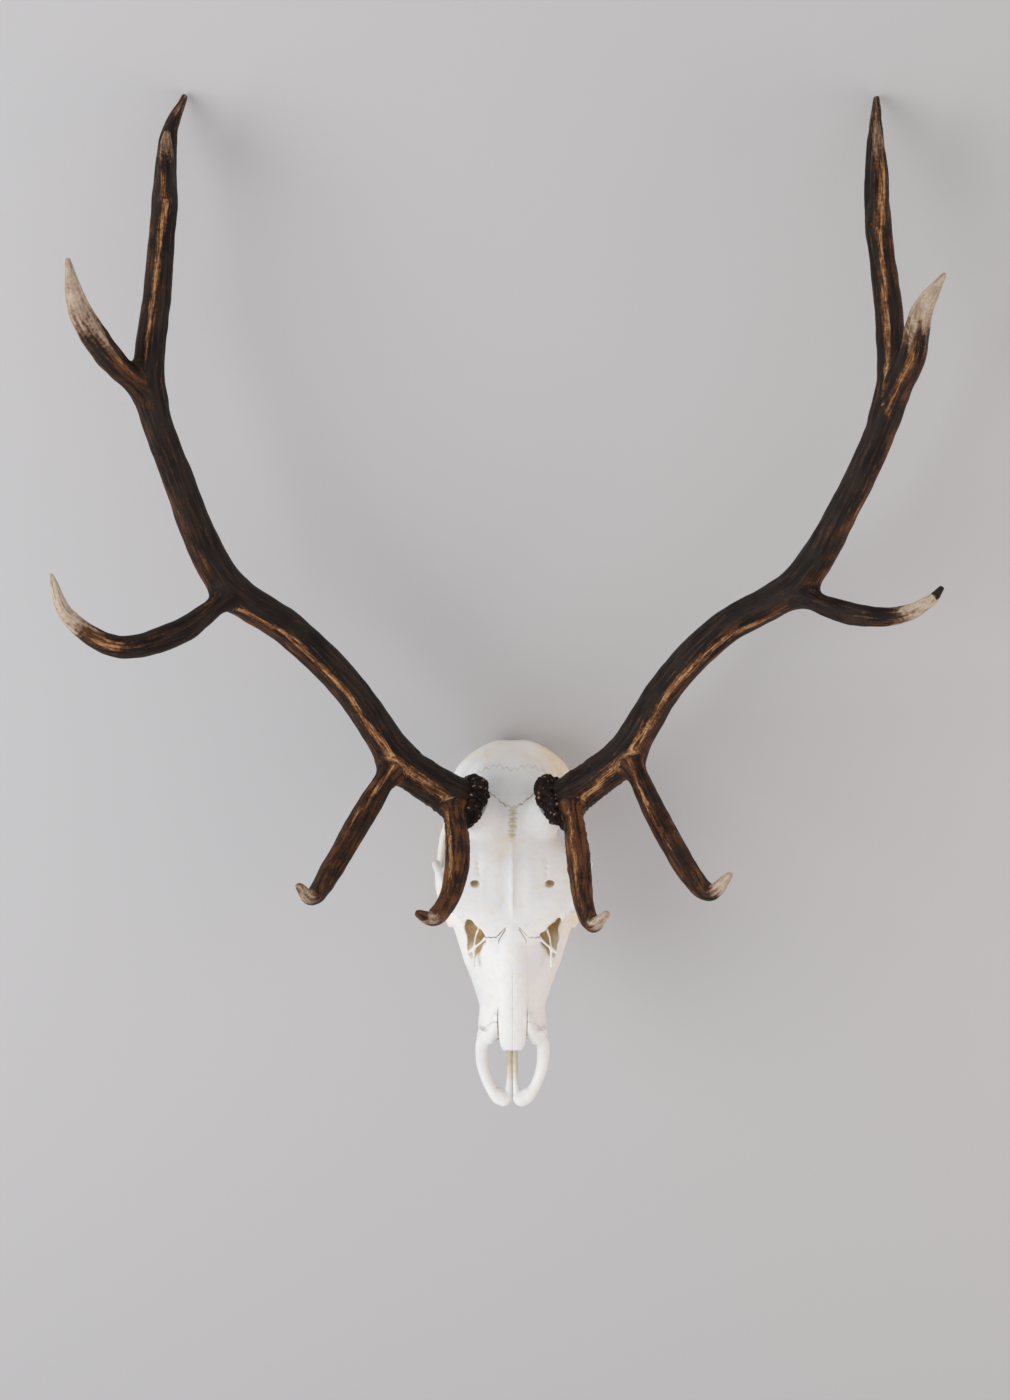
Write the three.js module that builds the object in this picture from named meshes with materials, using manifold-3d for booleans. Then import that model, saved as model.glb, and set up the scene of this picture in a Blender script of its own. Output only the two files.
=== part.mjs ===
// Elk skull with both antlers, without the lower jaw, lying at rest on the back of the skull and the antler tips.
// Millimetres. The skull is drawn with its cheek teeth level: x to its left side, y from the nose to the back, z up.
// A group at the end tips it back until it lies on a floor at z = 0.
import * as THREE from 'three';
import { ParametricGeometry } from 'three/addons/geometries/ParametricGeometry.js';
import { mergeVertices } from 'three/addons/utils/BufferGeometryUtils.js';
import Module from 'manifold-3d';

const wasm = await Module();
wasm.setup();

// Driving sizes.
const GAP = 0.3; // between neighbouring bones, and between the lengths of an antler
const REST_TILT = 41.7; // degrees that the skull tips back before the antler tips touch the floor
const REST_SHIFT = { x: 17.8, y: -618, z: 276 }; // the skull's own origin, once the part lies at rest

const ORBIT = { x: 90, y: 273, z: 99, reach: 42, length: 26, height: 25, turn: 20 };
const ORBIT_RIM = { x: 86, radius: 30, thickness: 5.5, split: 92 };
const FORAMEN_MAGNUM = { z: 62, radius: 13, depth: 40 };
const TEAR_GAP = { x: 47, y: 207, z: 108, width: 10, length: 24, height: 24 }; // the opening in front of each eye
const TEAR_PIT = { x: 68, y: 222, z: 92, width: 9, length: 15, height: 10 }; // the scent gland's pit beside it
const BROW_HOLE = { x: 43.5, y: 273, radius: 4.5 };
const CHEEK_HOLE = { x: 46, y: 122, z: 48, radius: 5 };
const TOOTH_LENGTHS = [16, 17, 16, 22, 25, 27]; // three premolars and three molars
const TOOTH_ROW = { front: 116, height: 26, narrow: 14, wide: 23, x: 32, bow: 11 };
const BURR = { radius: 33, thickness: 19, knobs: 8, knobHeight: 2 };

// Where the bones of the skull meet, each as a point on a plane and the plane's normal.
const CORONAL = { point: [0, 362, 150], normal: [0, 0.85, -0.53] };
const FACE = { point: [0, 214, 121], normal: [0, 0.885, 0.465] };
const BASE = { point: [0, 0, 84], normal: [0, 0, 1] };
const PALATE_END = { point: [0, 278, 0], normal: [0, 1, 0] };
const MIDLINE = { point: [0, 0, 0], normal: [1, 0, 0] };
const ORBIT_SPLIT = { point: [0, 0, ORBIT_RIM.split], normal: [0, 0, 1] };

const X = new THREE.Vector3(1, 0, 0);
const Y = new THREE.Vector3(0, 1, 0);
const Z = new THREE.Vector3(0, 0, 1);

// ---------- shapes ----------

const curveOf = (points) => new THREE.CatmullRomCurve3(points, false, 'catmullrom');
const power = (value, exponent) => Math.sign(value) * Math.abs(value) ** exponent;

// A closed skin has one ring on each row but the first and last, which are drawn in to a point.
// Returns how far along the shape a row lies, how wide its ring is, and which end it is nearer.
function rowPlace(row, rows) {
  const along = THREE.MathUtils.clamp((row - 1) / (rows - 2), 0, 1);
  const spread = THREE.MathUtils.clamp(Math.min(row, rows - row), 0, 1);
  return { along, spread, end: row < rows / 2 ? 0 : 1 };
}

// A round bar along a smooth curve through stations of [x, y, z, radius].
// `from` and `to` are the numbers of the stations where it starts and stops, and `rings` is per station.
// `round` bulges each end by that share of its radius, and `oval` makes it deeper than it is wide.
function bar(stations, options = {}) {
  const last = stations.length - 1;
  const { sides = 10, from = 0, to = last, rings = 2, round = [0, 0], across = Z } = options;
  const { swell = 0, inset = 0, oval = 1 } = options;
  const centre = curveOf(stations.map(([x, y, z]) => new THREE.Vector3(x, y, z)));
  const girth = curveOf(stations.map((station) => new THREE.Vector3(station[3], 0, 0)));
  const rows = Math.round((to - from) * rings) + 2;
  const surface = (around, v, out) => {
    const { along, spread, end } = rowPlace(v * rows, rows);
    const t = (from + (to - from) * along) / last;
    const radius = girth.getPoint(t).x + swell;
    const tangent = centre.getTangent(t);
    const sideways = new THREE.Vector3().crossVectors(across, tangent).normalize();
    const upward = new THREE.Vector3().crossVectors(tangent, sideways);
    const angle = 2 * Math.PI * around;
    const atEnd = along === 0 || along === 1;
    const beyond = round[end] * radius * (1 - spread) - (atEnd ? inset : 0);
    out.copy(centre.getPoint(t));
    out.addScaledVector(sideways, radius * spread * Math.cos(angle));
    out.addScaledVector(upward, radius * spread * oval * Math.sin(angle));
    out.addScaledVector(tangent, (end === 0 ? -1 : 1) * beyond);
  };
  return new ParametricGeometry(surface, sides, rows);
}

// A body carried along y. Stations are [y, bottom z, top z, half-widths at the bottom, middle and top].
// `square` below 1 makes its section boxier, and `swell` thickens it all round.
function hull(stations, options = {}) {
  const { sides = 14, rings = 1.5, square = 0.8, swell = 0 } = options;
  const heights = curveOf(stations.map(([y, bottom, top]) => new THREE.Vector3(y, bottom, top)));
  const widths = curveOf(stations.map((station) => new THREE.Vector3(...station.slice(3))));
  const rows = Math.round((stations.length - 1) * rings) + 2;
  const surface = (around, v, out) => {
    const { along, spread, end } = rowPlace(v * rows, rows);
    const height = heights.getPoint(along);
    const width = widths.getPoint(along);
    const angle = 2 * Math.PI * around;
    const up = power(Math.cos(angle), square);
    const outward = power(Math.sin(angle), square);
    const taper = ((width.z - width.x) / 2) * up;
    const belly = ((width.x + width.z) / 2 - width.y) * up * up;
    const half = (height.z - height.y) / 2 + swell;
    const atEnd = along === 0 || along === 1;
    const y = height.x + (atEnd ? (end === 0 ? -swell : swell) : 0);
    out.set(spread * (width.y + taper + belly + swell) * outward, y, (height.y + height.z) / 2 + spread * half * up);
  };
  return new ParametricGeometry(surface, sides, rows);
}

// An ellipsoid at a place, turned about x, y and z in degrees.
function egg(place, radii, { sides = 10, rows = 6, turn = [0, 0, 0] } = {}) {
  const [tx, ty, tz] = turn.map(THREE.MathUtils.degToRad);
  const ball = new THREE.SphereGeometry(1, sides, rows);
  return ball.scale(...radii).rotateX(tx).rotateY(ty).rotateZ(tz).translate(...place);
}

// ---------- joining and cutting ----------

function solidOf(geometry) {
  const bare = geometry.clone();
  bare.deleteAttribute('normal');
  bare.deleteAttribute('uv');
  const merged = mergeVertices(bare, 1e-3);
  const index = merged.index.array;
  const kept = [];
  for (let i = 0; i < index.length; i += 3) {
    const [a, b, c] = [index[i], index[i + 1], index[i + 2]];
    if (a !== b && b !== c && c !== a) kept.push(a, b, c);
  }
  const vertProperties = merged.attributes.position.array;
  return new wasm.Manifold(new wasm.Mesh({ numProp: 3, vertProperties, triVerts: new Uint32Array(kept) }));
}

const asSolid = (shape) => (shape.isBufferGeometry ? solidOf(shape) : shape);
const join = (...shapes) => shapes.map(asSolid).reduce((all, one) => all.add(one));
const cut = (shape, ...cutters) => cutters.map(asSolid).reduce((left, one) => left.subtract(one), asSolid(shape));
const bothSides = (make) => [make(-1), make(1)];

// The part of a solid beyond a plane, or with `way` -1 short of it, keeping `clear` away from it.
function keep(solid, { point, normal }, way = 1, clear = GAP / 2) {
  const n = new THREE.Vector3(...normal).normalize().multiplyScalar(way);
  return asSolid(solid).trimByPlane(n.toArray(), n.dot(new THREE.Vector3(...point)) + clear);
}

function meshOf(name, solid, material) {
  const bodies = asSolid(solid).decompose();
  const made = bodies.sort((a, b) => b.volume() - a.volume())[0].getMesh();
  const places = new Float32Array(made.numVert * 3);
  for (let i = 0; i < made.numVert; i++) {
    places.set(made.vertProperties.subarray(i * made.numProp, i * made.numProp + 3), i * 3);
  }
  const geometry = new THREE.BufferGeometry();
  geometry.setAttribute('position', new THREE.BufferAttribute(places, 3));
  geometry.setIndex(new THREE.BufferAttribute(made.triVerts, 1));
  geometry.computeVertexNormals();
  const mesh = new THREE.Mesh(geometry, material);
  mesh.name = name;
  return mesh;
}

// ---------- materials ----------

const bone = new THREE.MeshStandardMaterial({ color: 0xe9e4da, roughness: 0.6, metalness: 0 });
const enamel = new THREE.MeshStandardMaterial({ color: 0xd9cba9, roughness: 0.35, metalness: 0 });
const antlerBone = new THREE.MeshStandardMaterial({ color: 0x3d281b, roughness: 0.6, metalness: 0 });

// ---------- brain case and forehead ----------

const brainCase = hull(
  [
    [300, 64, 137, 24, 32, 24],
    [330, 56, 147, 30, 45, 34],
    [358, 50, 150, 34, 52, 40],
    [388, 47, 143, 38, 54, 36],
    [418, 46, 132, 42, 55, 30],
    [440, 47, 121, 42, 52, 24],
    [455, 54, 111, 32, 38, 18],
  ],
  { sides: 12, rings: 1.25 },
);

// The wall between the eye sockets, which carries the forehead in front of the brain case.
const eyeWall = hull(
  [
    [240, 72, 116, 16, 26, 30],
    [290, 62, 122, 18, 27, 36],
    [345, 54, 122, 24, 34, 36],
  ],
  { sides: 8 },
);

// The flat forehead, widest over the eyes.
const foreheadPlate = hull(
  [
    [206, 98, 118, 18, 34, 20],
    [222, 99, 123, 30, 58, 28],
    [243, 100, 130, 44, 78, 42],
    [262, 104, 135, 44, 88, 54],
    [282, 106, 140, 44, 91, 58],
    [304, 106, 145, 40, 80, 54],
    [328, 104, 149, 36, 57, 46],
    [352, 108, 151, 28, 44, 34],
  ],
  { rings: 1.25, square: 0.72 },
);

const orbitHollow = (side) => {
  const place = [side * ORBIT.x, ORBIT.y, ORBIT.z];
  return egg(place, [ORBIT.reach, ORBIT.length, ORBIT.height], { rows: 7, turn: [0, 0, -side * ORBIT.turn] });
};

const orbitRim = (side, swell = 0) => {
  const ring = new THREE.TorusGeometry(ORBIT_RIM.radius, ORBIT_RIM.thickness + swell, 5, 12);
  const turn = THREE.MathUtils.degToRad(-side * ORBIT.turn);
  return ring.rotateY(Math.PI / 2).rotateZ(turn).translate(side * ORBIT_RIM.x, ORBIT.y, ORBIT.z);
};

const browHole = (side) =>
  bar(
    [
      [side * BROW_HOLE.x, BROW_HOLE.y - 4, 142, BROW_HOLE.radius],
      [side * (BROW_HOLE.x + 6), BROW_HOLE.y + 4, 112, BROW_HOLE.radius],
    ],
    { sides: 6, rings: 1, across: X },
  );

// The stub of bone that each antler grows from.
const pedicle = (side, swell = 0) =>
  bar(
    [
      [side * 30, 350, 122, 25],
      [side * 39, 358, 146, 25],
      [side * 50, 365, 167.5, 21],
    ],
    { sides: 9, rings: 1, across: Y, swell, inset: -swell },
  );

// The crest across the back of the skull and down behind each ear.
const napeCrest = (side) =>
  bar(
    [
      [0, 450, 106, 6],
      [side * 20, 451, 107, 7],
      [side * 42, 441, 101, 8],
      [side * 59, 428, 89, 9],
      [side * 64, 418, 74, 11],
      [side * 56, 420, 58, 10],
    ],
    { sides: 6, rings: 1, round: [0, 0.5] },
  );

const condyle = (side) => egg([side * 18, 452, 57], [12, 14, 17], { sides: 8, turn: [0, 0, side * 25] });
const earBulla = (side) => egg([side * 31, 396, 47], [10, 16, 12], { sides: 7, rows: 4 });
const templeRoot = (side) => egg([side * 58, 382, 80], [20, 18, 9], { sides: 8, rows: 5 });

// The long process behind each ear, which the skull rests on.
const earProcess = (side) =>
  bar(
    [
      [side * 48, 428, 66, 12],
      [side * 44, 438, 46, 8],
      [side * 40, 444, 28, 4],
    ],
    { sides: 7, rings: 1, round: [0, 0.6], across: X },
  );

const spineHole = bar(
  [
    [0, 455 - FORAMEN_MAGNUM.depth, FORAMEN_MAGNUM.z + 8, FORAMEN_MAGNUM.radius],
    [0, 480, FORAMEN_MAGNUM.z - 4, FORAMEN_MAGNUM.radius],
  ],
  { rings: 1 },
);

// The thin wing of bone on each side of the throat.
const palateWing = (side) =>
  bar(
    [
      [side * 21, 240, 34, 8],
      [side * 18, 270, 37, 5],
      [side * 18, 294, 45, 5],
      [side * 21, 318, 62, 9],
    ],
    { sides: 7, rings: 1.5, oval: 1.5 },
  );

// ---------- face ----------

// The nasal bones make a narrow arched roof over the nose.
const nasalRoof = (swell = 0) =>
  hull(
    [
      [66, 68, 79, 9, 12, 8],
      [78, 70, 83, 13, 16, 10],
      [104, 75, 90, 15, 17.5, 11],
      [140, 83, 100, 15, 18, 11],
      [178, 92, 111, 15, 18, 10],
      [204, 100, 119, 11, 14, 8],
      [222, 109, 124, 3, 5, 3],
    ],
    { sides: 12, rings: 1, swell },
  );

const noseHollow = hull(
  [
    [40, 24, 90, 26, 28, 18],
    [92, 29, 76, 26, 32, 12],
    [135, 34, 86, 24, 34, 13],
    [178, 44, 92, 16, 24, 12],
  ],
  { sides: 10, rings: 1 },
);

const upperJawBody = hull(
  [
    [84, 24, 74, 30, 40, 14],
    [102, 19, 86, 33, 43, 18],
    [128, 16, 94, 32, 42, 18],
    [158, 15, 103, 46, 50, 20],
    [186, 15, 111, 55, 59, 25],
    [212, 15, 117, 58, 68, 30],
    [236, 18, 122, 54, 76, 36],
    [256, 30, 122, 40, 76, 36],
    [276, 50, 112, 24, 50, 28],
  ],
  { sides: 12, square: 0.72, rings: 1 },
);

const tearGap = (side) =>
  egg([side * TEAR_GAP.x, TEAR_GAP.y, TEAR_GAP.z], [TEAR_GAP.width, TEAR_GAP.length, TEAR_GAP.height], {
    sides: 7,
    rows: 5,
    turn: [0, side * 30, side * -8],
  });
const tearPit = (side) =>
  egg([side * TEAR_PIT.x, TEAR_PIT.y, TEAR_PIT.z], [TEAR_PIT.width, TEAR_PIT.length, TEAR_PIT.height], {
    sides: 7,
    rows: 5,
    turn: [0, side * 40, 0],
  });
const throatHollow = egg([0, 268, 44], [13, 34, 15], { sides: 8 });
const palateHollow = egg([0, 176, 6], [30, 92, 20], { sides: 8 });
const cheekHole = (side) =>
  bar(
    [
      [side * (CHEEK_HOLE.x - 16), CHEEK_HOLE.y + 10, CHEEK_HOLE.z, CHEEK_HOLE.radius],
      [side * (CHEEK_HOLE.x + 6), CHEEK_HOLE.y - 4, CHEEK_HOLE.z, CHEEK_HOLE.radius],
    ],
    { sides: 6, rings: 1 },
  );

// The cheek bone makes the lower half of the eye socket's rim, then runs back to the ear in an arch.
const cheekArch = (side, swell = 0) => {
  const arch = bar(
    [
      [side * 70, 232, 60, 12],
      [side * 84, 256, 64, 9],
      [side * 92, 280, 66, 6.5],
      [side * 91, 310, 71, 5.5],
      [side * 87, 340, 77, 5.5],
      [side * 76, 366, 82, 7],
      [side * 62, 384, 82, 9],
    ],
    { sides: 8, rings: 1, swell, oval: 1.35, inset: -swell },
  );
  return join(arch, keep(orbitRim(side, swell), ORBIT_SPLIT, -1, GAP / 2 - swell));
};

// One row of cheek teeth: they widen to the back and the row bows outwards.
function toothRow(side, swell = 0) {
  let front = TOOTH_ROW.front;
  const teeth = TOOTH_LENGTHS.map((length, i) => {
    const share = i / (TOOTH_LENGTHS.length - 1);
    const width = TOOTH_ROW.narrow + (TOOTH_ROW.wide - TOOTH_ROW.narrow) * Math.sin(share * 0.62 * Math.PI);
    const x = TOOTH_ROW.x + TOOTH_ROW.bow * Math.sin(share * 0.5 * Math.PI);
    const y = front + length / 2;
    front += length;
    return new THREE.CylinderGeometry(0.7, 0.62, TOOTH_ROW.height + 2 * swell, 6)
      .rotateY(Math.PI / 6)
      .rotateX(Math.PI / 2)
      .scale(width - 2 + 2 * swell, length - 2 + 2 * swell, 1)
      .translate(side * x, y, TOOTH_ROW.height / 2);
  });
  return join(...teeth);
}

// Each front bone of the jaw is an arm beside the nose and a thin bar along the palate, joined at the tip.
const premaxilla = (side, swell = 0) =>
  join(
    bar(
      [
        [side * 31, 98, 64, 11],
        [side * 37, 74, 50, 9.5],
        [side * 36, 52, 38, 8],
        [side * 29, 30, 29, 7.5],
        [side * 19, 14, 23, 8],
        [side * 10, 9, 20, 8.5],
      ],
      { sides: 8, rings: 1.4, swell, round: [0, 0.5], inset: -swell },
    ),
    bar(
      [
        [side * 6, 12, 20, 6.5],
        [side * 3.9, 34, 23, 3.9],
        [side * 3.7, 64, 27, 3.6],
        [side * 3.6, 96, 31, 3.2],
      ],
      { sides: 6, rings: 1, swell, round: [0.4, 0], inset: -swell },
    ),
  );

// ---------- the bones, cut where they meet ----------

const cheeksGrown = bothSides((side) => cheekArch(side, GAP));
const pediclesGrown = bothSides((side) => pedicle(side, GAP));
const roofGrown = nasalRoof(GAP);
const wings = join(...bothSides(palateWing));

// The forehead lies in front of the coronal suture, behind the face and above the base of the skull.
const foreheadMass = cut(join(brainCase, eyeWall, foreheadPlate, upperJawBody), ...bothSides(orbitHollow));
const foreheadShell = keep(keep(keep(foreheadMass, CORONAL, -1), FACE), BASE);
const upperRims = bothSides((side) => keep(orbitRim(side), ORBIT_SPLIT));
const stubs = bothSides((side) => pedicle(side));
const forehead = cut(
  join(foreheadShell, ...upperRims, ...stubs),
  ...bothSides(browHole),
  ...bothSides(tearGap),
  ...cheeksGrown,
  roofGrown,
);

const caseMass = keep(join(brainCase, eyeWall), PALATE_END);
const backMass = join(
  keep(caseMass, CORONAL),
  keep(caseMass, BASE, -1),
  ...bothSides(napeCrest),
  ...bothSides(condyle),
  ...bothSides(earProcess),
  ...bothSides(earBulla),
  ...bothSides(templeRoot),
  keep(wings, PALATE_END),
);
const braincase = cut(backMass, spineHole, ...pediclesGrown, ...cheeksGrown);

const jawMass = cut(
  keep(join(upperJawBody, eyeWall), PALATE_END, -1),
  ...bothSides(orbitHollow),
  noseHollow,
  throatHollow,
  palateHollow,
  roofGrown,
  ...bothSides(cheekHole),
  ...bothSides(tearPit),
  ...bothSides(tearGap),
);
const upperJaw = cut(
  join(keep(jawMass, FACE, -1), keep(jawMass, BASE, -1), keep(wings, PALATE_END, -1)),
  ...cheeksGrown,
  ...bothSides((side) => toothRow(side, GAP)),
  ...bothSides((side) => premaxilla(side, GAP)),
);

const SIDE_NAMES = new Map([
  [-1, 'right'],
  [1, 'left'],
]);
const pair = (name, make, material) => bothSides((side) => meshOf(`${name}_${SIDE_NAMES.get(side)}`, make(side), material));

const skullNodes = [
  meshOf('braincase', braincase, bone),
  meshOf('forehead', forehead, bone),
  meshOf('upper_jaw', upperJaw, bone),
  ...pair('nasal_bone', (side) => keep(cut(nasalRoof(), noseHollow), MIDLINE, side), bone),
  ...pair('premaxilla', (side) => keep(cut(premaxilla(side), roofGrown), MIDLINE, side), bone),
  ...pair('cheek_arch', (side) => cheekArch(side), bone),
  ...pair('cheek_teeth', (side) => toothRow(side), enamel),
];

// ---------- antlers ----------

// Each list runs from root to tip as [x, y, z, radius]. The beam forks at stations 2, 5, 7 and 9.
const ANTLERS = {
  right: {
    beam: [
      [-57, 367, 172, 25],
      [-108, 392, 202, 24.5],
      [-143, 419, 222, 22.5],
      [-195, 490, 268, 20.5],
      [-262, 549, 322, 20.5],
      [-336, 596, 384, 20.5],
      [-380, 696, 474, 17.5],
      [-401, 775, 534, 17],
      [-388, 868, 580, 15],
      [-379, 960, 607, 13.5],
      [-376, 1030, 614, 9.5],
      [-362, 1084, 604, 3.5],
    ],
    brow_tine: [[-74, 368, 192, 18], [-66, 301, 232, 15], [-72, 245, 283, 12.5], [-90, 210, 330, 10], [-107, 211, 364, 4.5]],
    bez_tine: [[-138, 416, 221, 18], [-173, 347, 262, 14.5], [-206, 274, 312, 13], [-226, 231, 356, 10], [-240, 238, 393, 4]],
    trez_tine: [[-327, 577, 380, 18], [-380, 524, 416, 14], [-438, 497, 459, 12.5], [-484, 518, 505, 9], [-500, 559, 532, 3]],
    royal_tine: [[-399, 761, 519, 16.5], [-438, 790, 589, 14.5], [-456, 815, 655, 12], [-455, 839, 720, 3]],
    crown_tine: [[-379, 955, 604, 12], [-372, 985, 650, 9.5], [-363, 992, 697, 3.5]],
  },
  left: {
    beam: [
      [56, 367, 172, 25],
      [106, 397, 201, 24],
      [141, 428, 223, 22],
      [188, 497, 276, 20],
      [248, 550, 328, 20],
      [327, 589, 385, 20.5],
      [374, 660, 455, 17.5],
      [412, 749, 525, 17],
      [411, 830, 567, 15.5],
      [395, 937, 605, 13.5],
      [394, 1016, 613, 10],
      [399, 1082, 604, 3.5],
    ],
    brow_tine: [[71, 368, 192, 18], [78, 296, 234, 14], [82, 234, 287, 12], [91, 203, 325, 9.5], [105, 210, 366, 4]],
    bez_tine: [[139, 422, 222, 18], [167, 346, 267, 14], [199, 268, 322, 13], [222, 236, 356, 10], [241, 250, 398, 4]],
    trez_tine: [[323, 580, 381, 18], [378, 544, 427, 12.5], [424, 529, 472, 10], [452, 536, 503, 7], [464, 547, 523, 3.5]],
    royal_tine: [[411, 744, 516, 16.5], [428, 783, 583, 15], [428, 812, 650, 11.5], [440, 828, 709, 3]],
    crown_tine: [[396, 922, 600, 12], [390, 962, 649, 10], [376, 995, 716, 3]],
  },
};

// The lengths of the beam from fork to fork, by station number.
const BEAM_LENGTHS = { beam_base: [0, 2], beam_lower: [2, 5], beam_middle: [5, 7], beam_upper: [7, 9], beam_tip: [9, 11] };
// The direction that each tine's section is set out from: one that the tine never runs along.
const TINE_ACROSS = { brow_tine: X, bez_tine: X, trez_tine: Z, royal_tine: Y, crown_tine: X };

const ROUND_TIP = [0, 0.8];
const beamBetween = (beam, from, to) => bar(beam, { from, to, inset: GAP / 2, round: to === 11 ? ROUND_TIP : [0, 0] });

// The burr is a rough ring of knobs round the foot of the antler.
function burr(beam, swell = 0) {
  const places = beam.map(([x, y, z]) => new THREE.Vector3(x, y, z));
  const axis = curveOf(places).getTangent(0);
  const rows = 4;
  const surface = (around, v, out) => {
    const { along, spread } = rowPlace(v * rows, rows);
    const angle = 2 * Math.PI * around;
    const belly = 0.88 + 0.12 * Math.sin(Math.PI * along);
    const radius = (BURR.radius + BURR.knobHeight * Math.cos(BURR.knobs * angle)) * belly + swell;
    const height = (along - 0.5) * (BURR.thickness + 2 * swell);
    out.set(radius * spread * Math.cos(angle), radius * spread * Math.sin(angle), height);
  };
  const turn = new THREE.Quaternion().setFromUnitVectors(Z, axis);
  return new ParametricGeometry(surface, BURR.knobs * 2, rows).applyQuaternion(turn).translate(...places[0]);
}

function antlerNodes(name, side) {
  const { beam, ...tines } = ANTLERS[name];
  const stub = solidOf(pedicle(side, GAP));
  const ringSpace = solidOf(burr(beam, GAP));
  const beamSpace = solidOf(bar(beam, { swell: GAP }));
  const named = (part, solid) => meshOf(`antler_${name}_${part}`, solid, antlerBone);
  const lengths = Object.entries(BEAM_LENGTHS).map(([part, [from, to]]) => {
    const length = beamBetween(beam, from, to);
    return named(part, part === 'beam_base' ? cut(length, ringSpace, stub) : length);
  });
  const points = Object.entries(tines).map(([part, stations]) => {
    const rings = stations.length > 4 ? 1.5 : 2;
    const tine = bar(stations, { sides: 8, rings, across: TINE_ACROSS[part], round: ROUND_TIP });
    return named(part, part === 'brow_tine' ? cut(tine, beamSpace, ringSpace) : cut(tine, beamSpace));
  });
  return [named('burr', cut(burr(beam), stub)), ...lengths, ...points];
}

// ---------- the whole part, lying at rest ----------

const skull = new THREE.Group();
skull.add(...skullNodes, ...antlerNodes('right', -1), ...antlerNodes('left', 1));
skull.rotation.x = -THREE.MathUtils.degToRad(REST_TILT);
skull.position.set(REST_SHIFT.x, REST_SHIFT.y, REST_SHIFT.z);

const part = new THREE.Group();
part.add(skull);

export default part;
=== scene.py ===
# Elk skull with both antlers, lying at rest on a pale floor.
# An add-on that builds the fine bone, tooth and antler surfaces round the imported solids.
import functools
import math

import bpy
import numpy as np
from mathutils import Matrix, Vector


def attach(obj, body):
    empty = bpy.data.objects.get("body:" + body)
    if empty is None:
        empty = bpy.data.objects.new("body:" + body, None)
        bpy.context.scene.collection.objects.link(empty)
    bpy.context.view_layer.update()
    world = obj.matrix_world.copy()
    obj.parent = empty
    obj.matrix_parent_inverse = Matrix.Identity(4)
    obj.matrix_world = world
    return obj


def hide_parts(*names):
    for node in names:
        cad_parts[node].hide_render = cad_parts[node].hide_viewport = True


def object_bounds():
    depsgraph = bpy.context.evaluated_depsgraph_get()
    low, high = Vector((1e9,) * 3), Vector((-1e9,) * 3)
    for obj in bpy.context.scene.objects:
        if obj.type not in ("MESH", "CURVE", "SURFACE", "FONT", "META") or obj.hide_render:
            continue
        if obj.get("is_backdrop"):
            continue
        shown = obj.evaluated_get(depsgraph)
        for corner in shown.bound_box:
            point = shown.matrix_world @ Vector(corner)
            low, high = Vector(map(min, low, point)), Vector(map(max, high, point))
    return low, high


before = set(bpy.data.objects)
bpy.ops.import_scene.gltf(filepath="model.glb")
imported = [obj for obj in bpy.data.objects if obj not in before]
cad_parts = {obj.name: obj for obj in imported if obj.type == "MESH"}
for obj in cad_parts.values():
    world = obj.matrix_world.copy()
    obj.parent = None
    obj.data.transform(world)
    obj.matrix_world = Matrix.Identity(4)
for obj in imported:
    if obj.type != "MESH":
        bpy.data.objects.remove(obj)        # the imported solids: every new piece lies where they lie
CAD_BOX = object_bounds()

import openvdb
from bpy.props import FloatProperty, FloatVectorProperty, PointerProperty
from mathutils import Matrix, Vector

bl_info = {
    "name": "Elk Skull",
    "version": (1, 0, 0),
    "blender": (4, 5, 0),
    "location": "3D View > Sidebar > Elk Skull",
    "description": "Builds an elk skull with antlers round its packed solids",
    "category": "Add Mesh",
}

BODY = "root"
MM = 0.001
SIDES = {"right": -1, "left": 1}

# The skull's own frame is in millimetres: x to the animal's left, y from nose to crest, z up from the
# biting plane. At rest it is tipped back by REST_TILT and moved by REST_SHIFT.
REST_TILT = math.radians(41.7)
REST_SHIFT = (17.8, -618.0, 276.0)
X, Y, Z = np.eye(3)
FRONT = np.array([0.0, -math.sin(math.radians(12)), math.cos(math.radians(12))])  # out of the forehead


# ---------- numbers ----------

NOISE_TABLE = 4096  # a power of two
NOISE_PRIMES = np.array([73856093, 19349663, 83492791])  # these spread neighbouring corners over the table


def linear(hex_colour):
    """An sRGB hex colour as linear red, green, blue and 1."""
    parts = [int(hex_colour[i : i + 2], 16) / 255 for i in (1, 3, 5)]
    return tuple(((c + 0.055) / 1.055) ** 2.4 if c > 0.04045 else c / 12.92 for c in parts) + (1.0,)


def ramp(value, low, high):
    """0 below `low`, 1 above `high`, and 3t² - 2t³ between them."""
    t = np.clip((value - low) / (high - low), 0, 1)
    return t * t * (3 - 2 * t)


def span(value, start, full, fade, end):
    """A ramp up from `start` to `full`, and down again from `fade` to `end`."""
    return ramp(value, start, full) * ramp(-value, -end, -fade)


def hump(value, width):
    """A bell: the exponential of -(value / width)²."""
    return np.exp(-np.square(value / width))


def zigzag(value, period):
    """A triangle wave from -1 to 1 with that period."""
    return 2 / math.pi * np.arcsin(np.sin(2 * math.pi * value / period))


def noise(points, size, seed):
    """Value noise from -1 to 1: random numbers at the corners of cubes of `size`, blended with 3t² - 2t³."""
    table = np.random.default_rng(seed).uniform(-1, 1, NOISE_TABLE)
    cell = points / size
    base = np.floor(cell).astype(np.int64)
    share = cell - base
    share = share * share * (3 - 2 * share)
    total = np.zeros(len(points))
    for corner in np.ndindex(2, 2, 2):
        x, y, z = ((base + corner) * NOISE_PRIMES).T
        total += table[(x ^ y ^ z) & (NOISE_TABLE - 1)] * np.prod(np.where(corner, share, 1 - share), axis=1)
    return total


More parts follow.
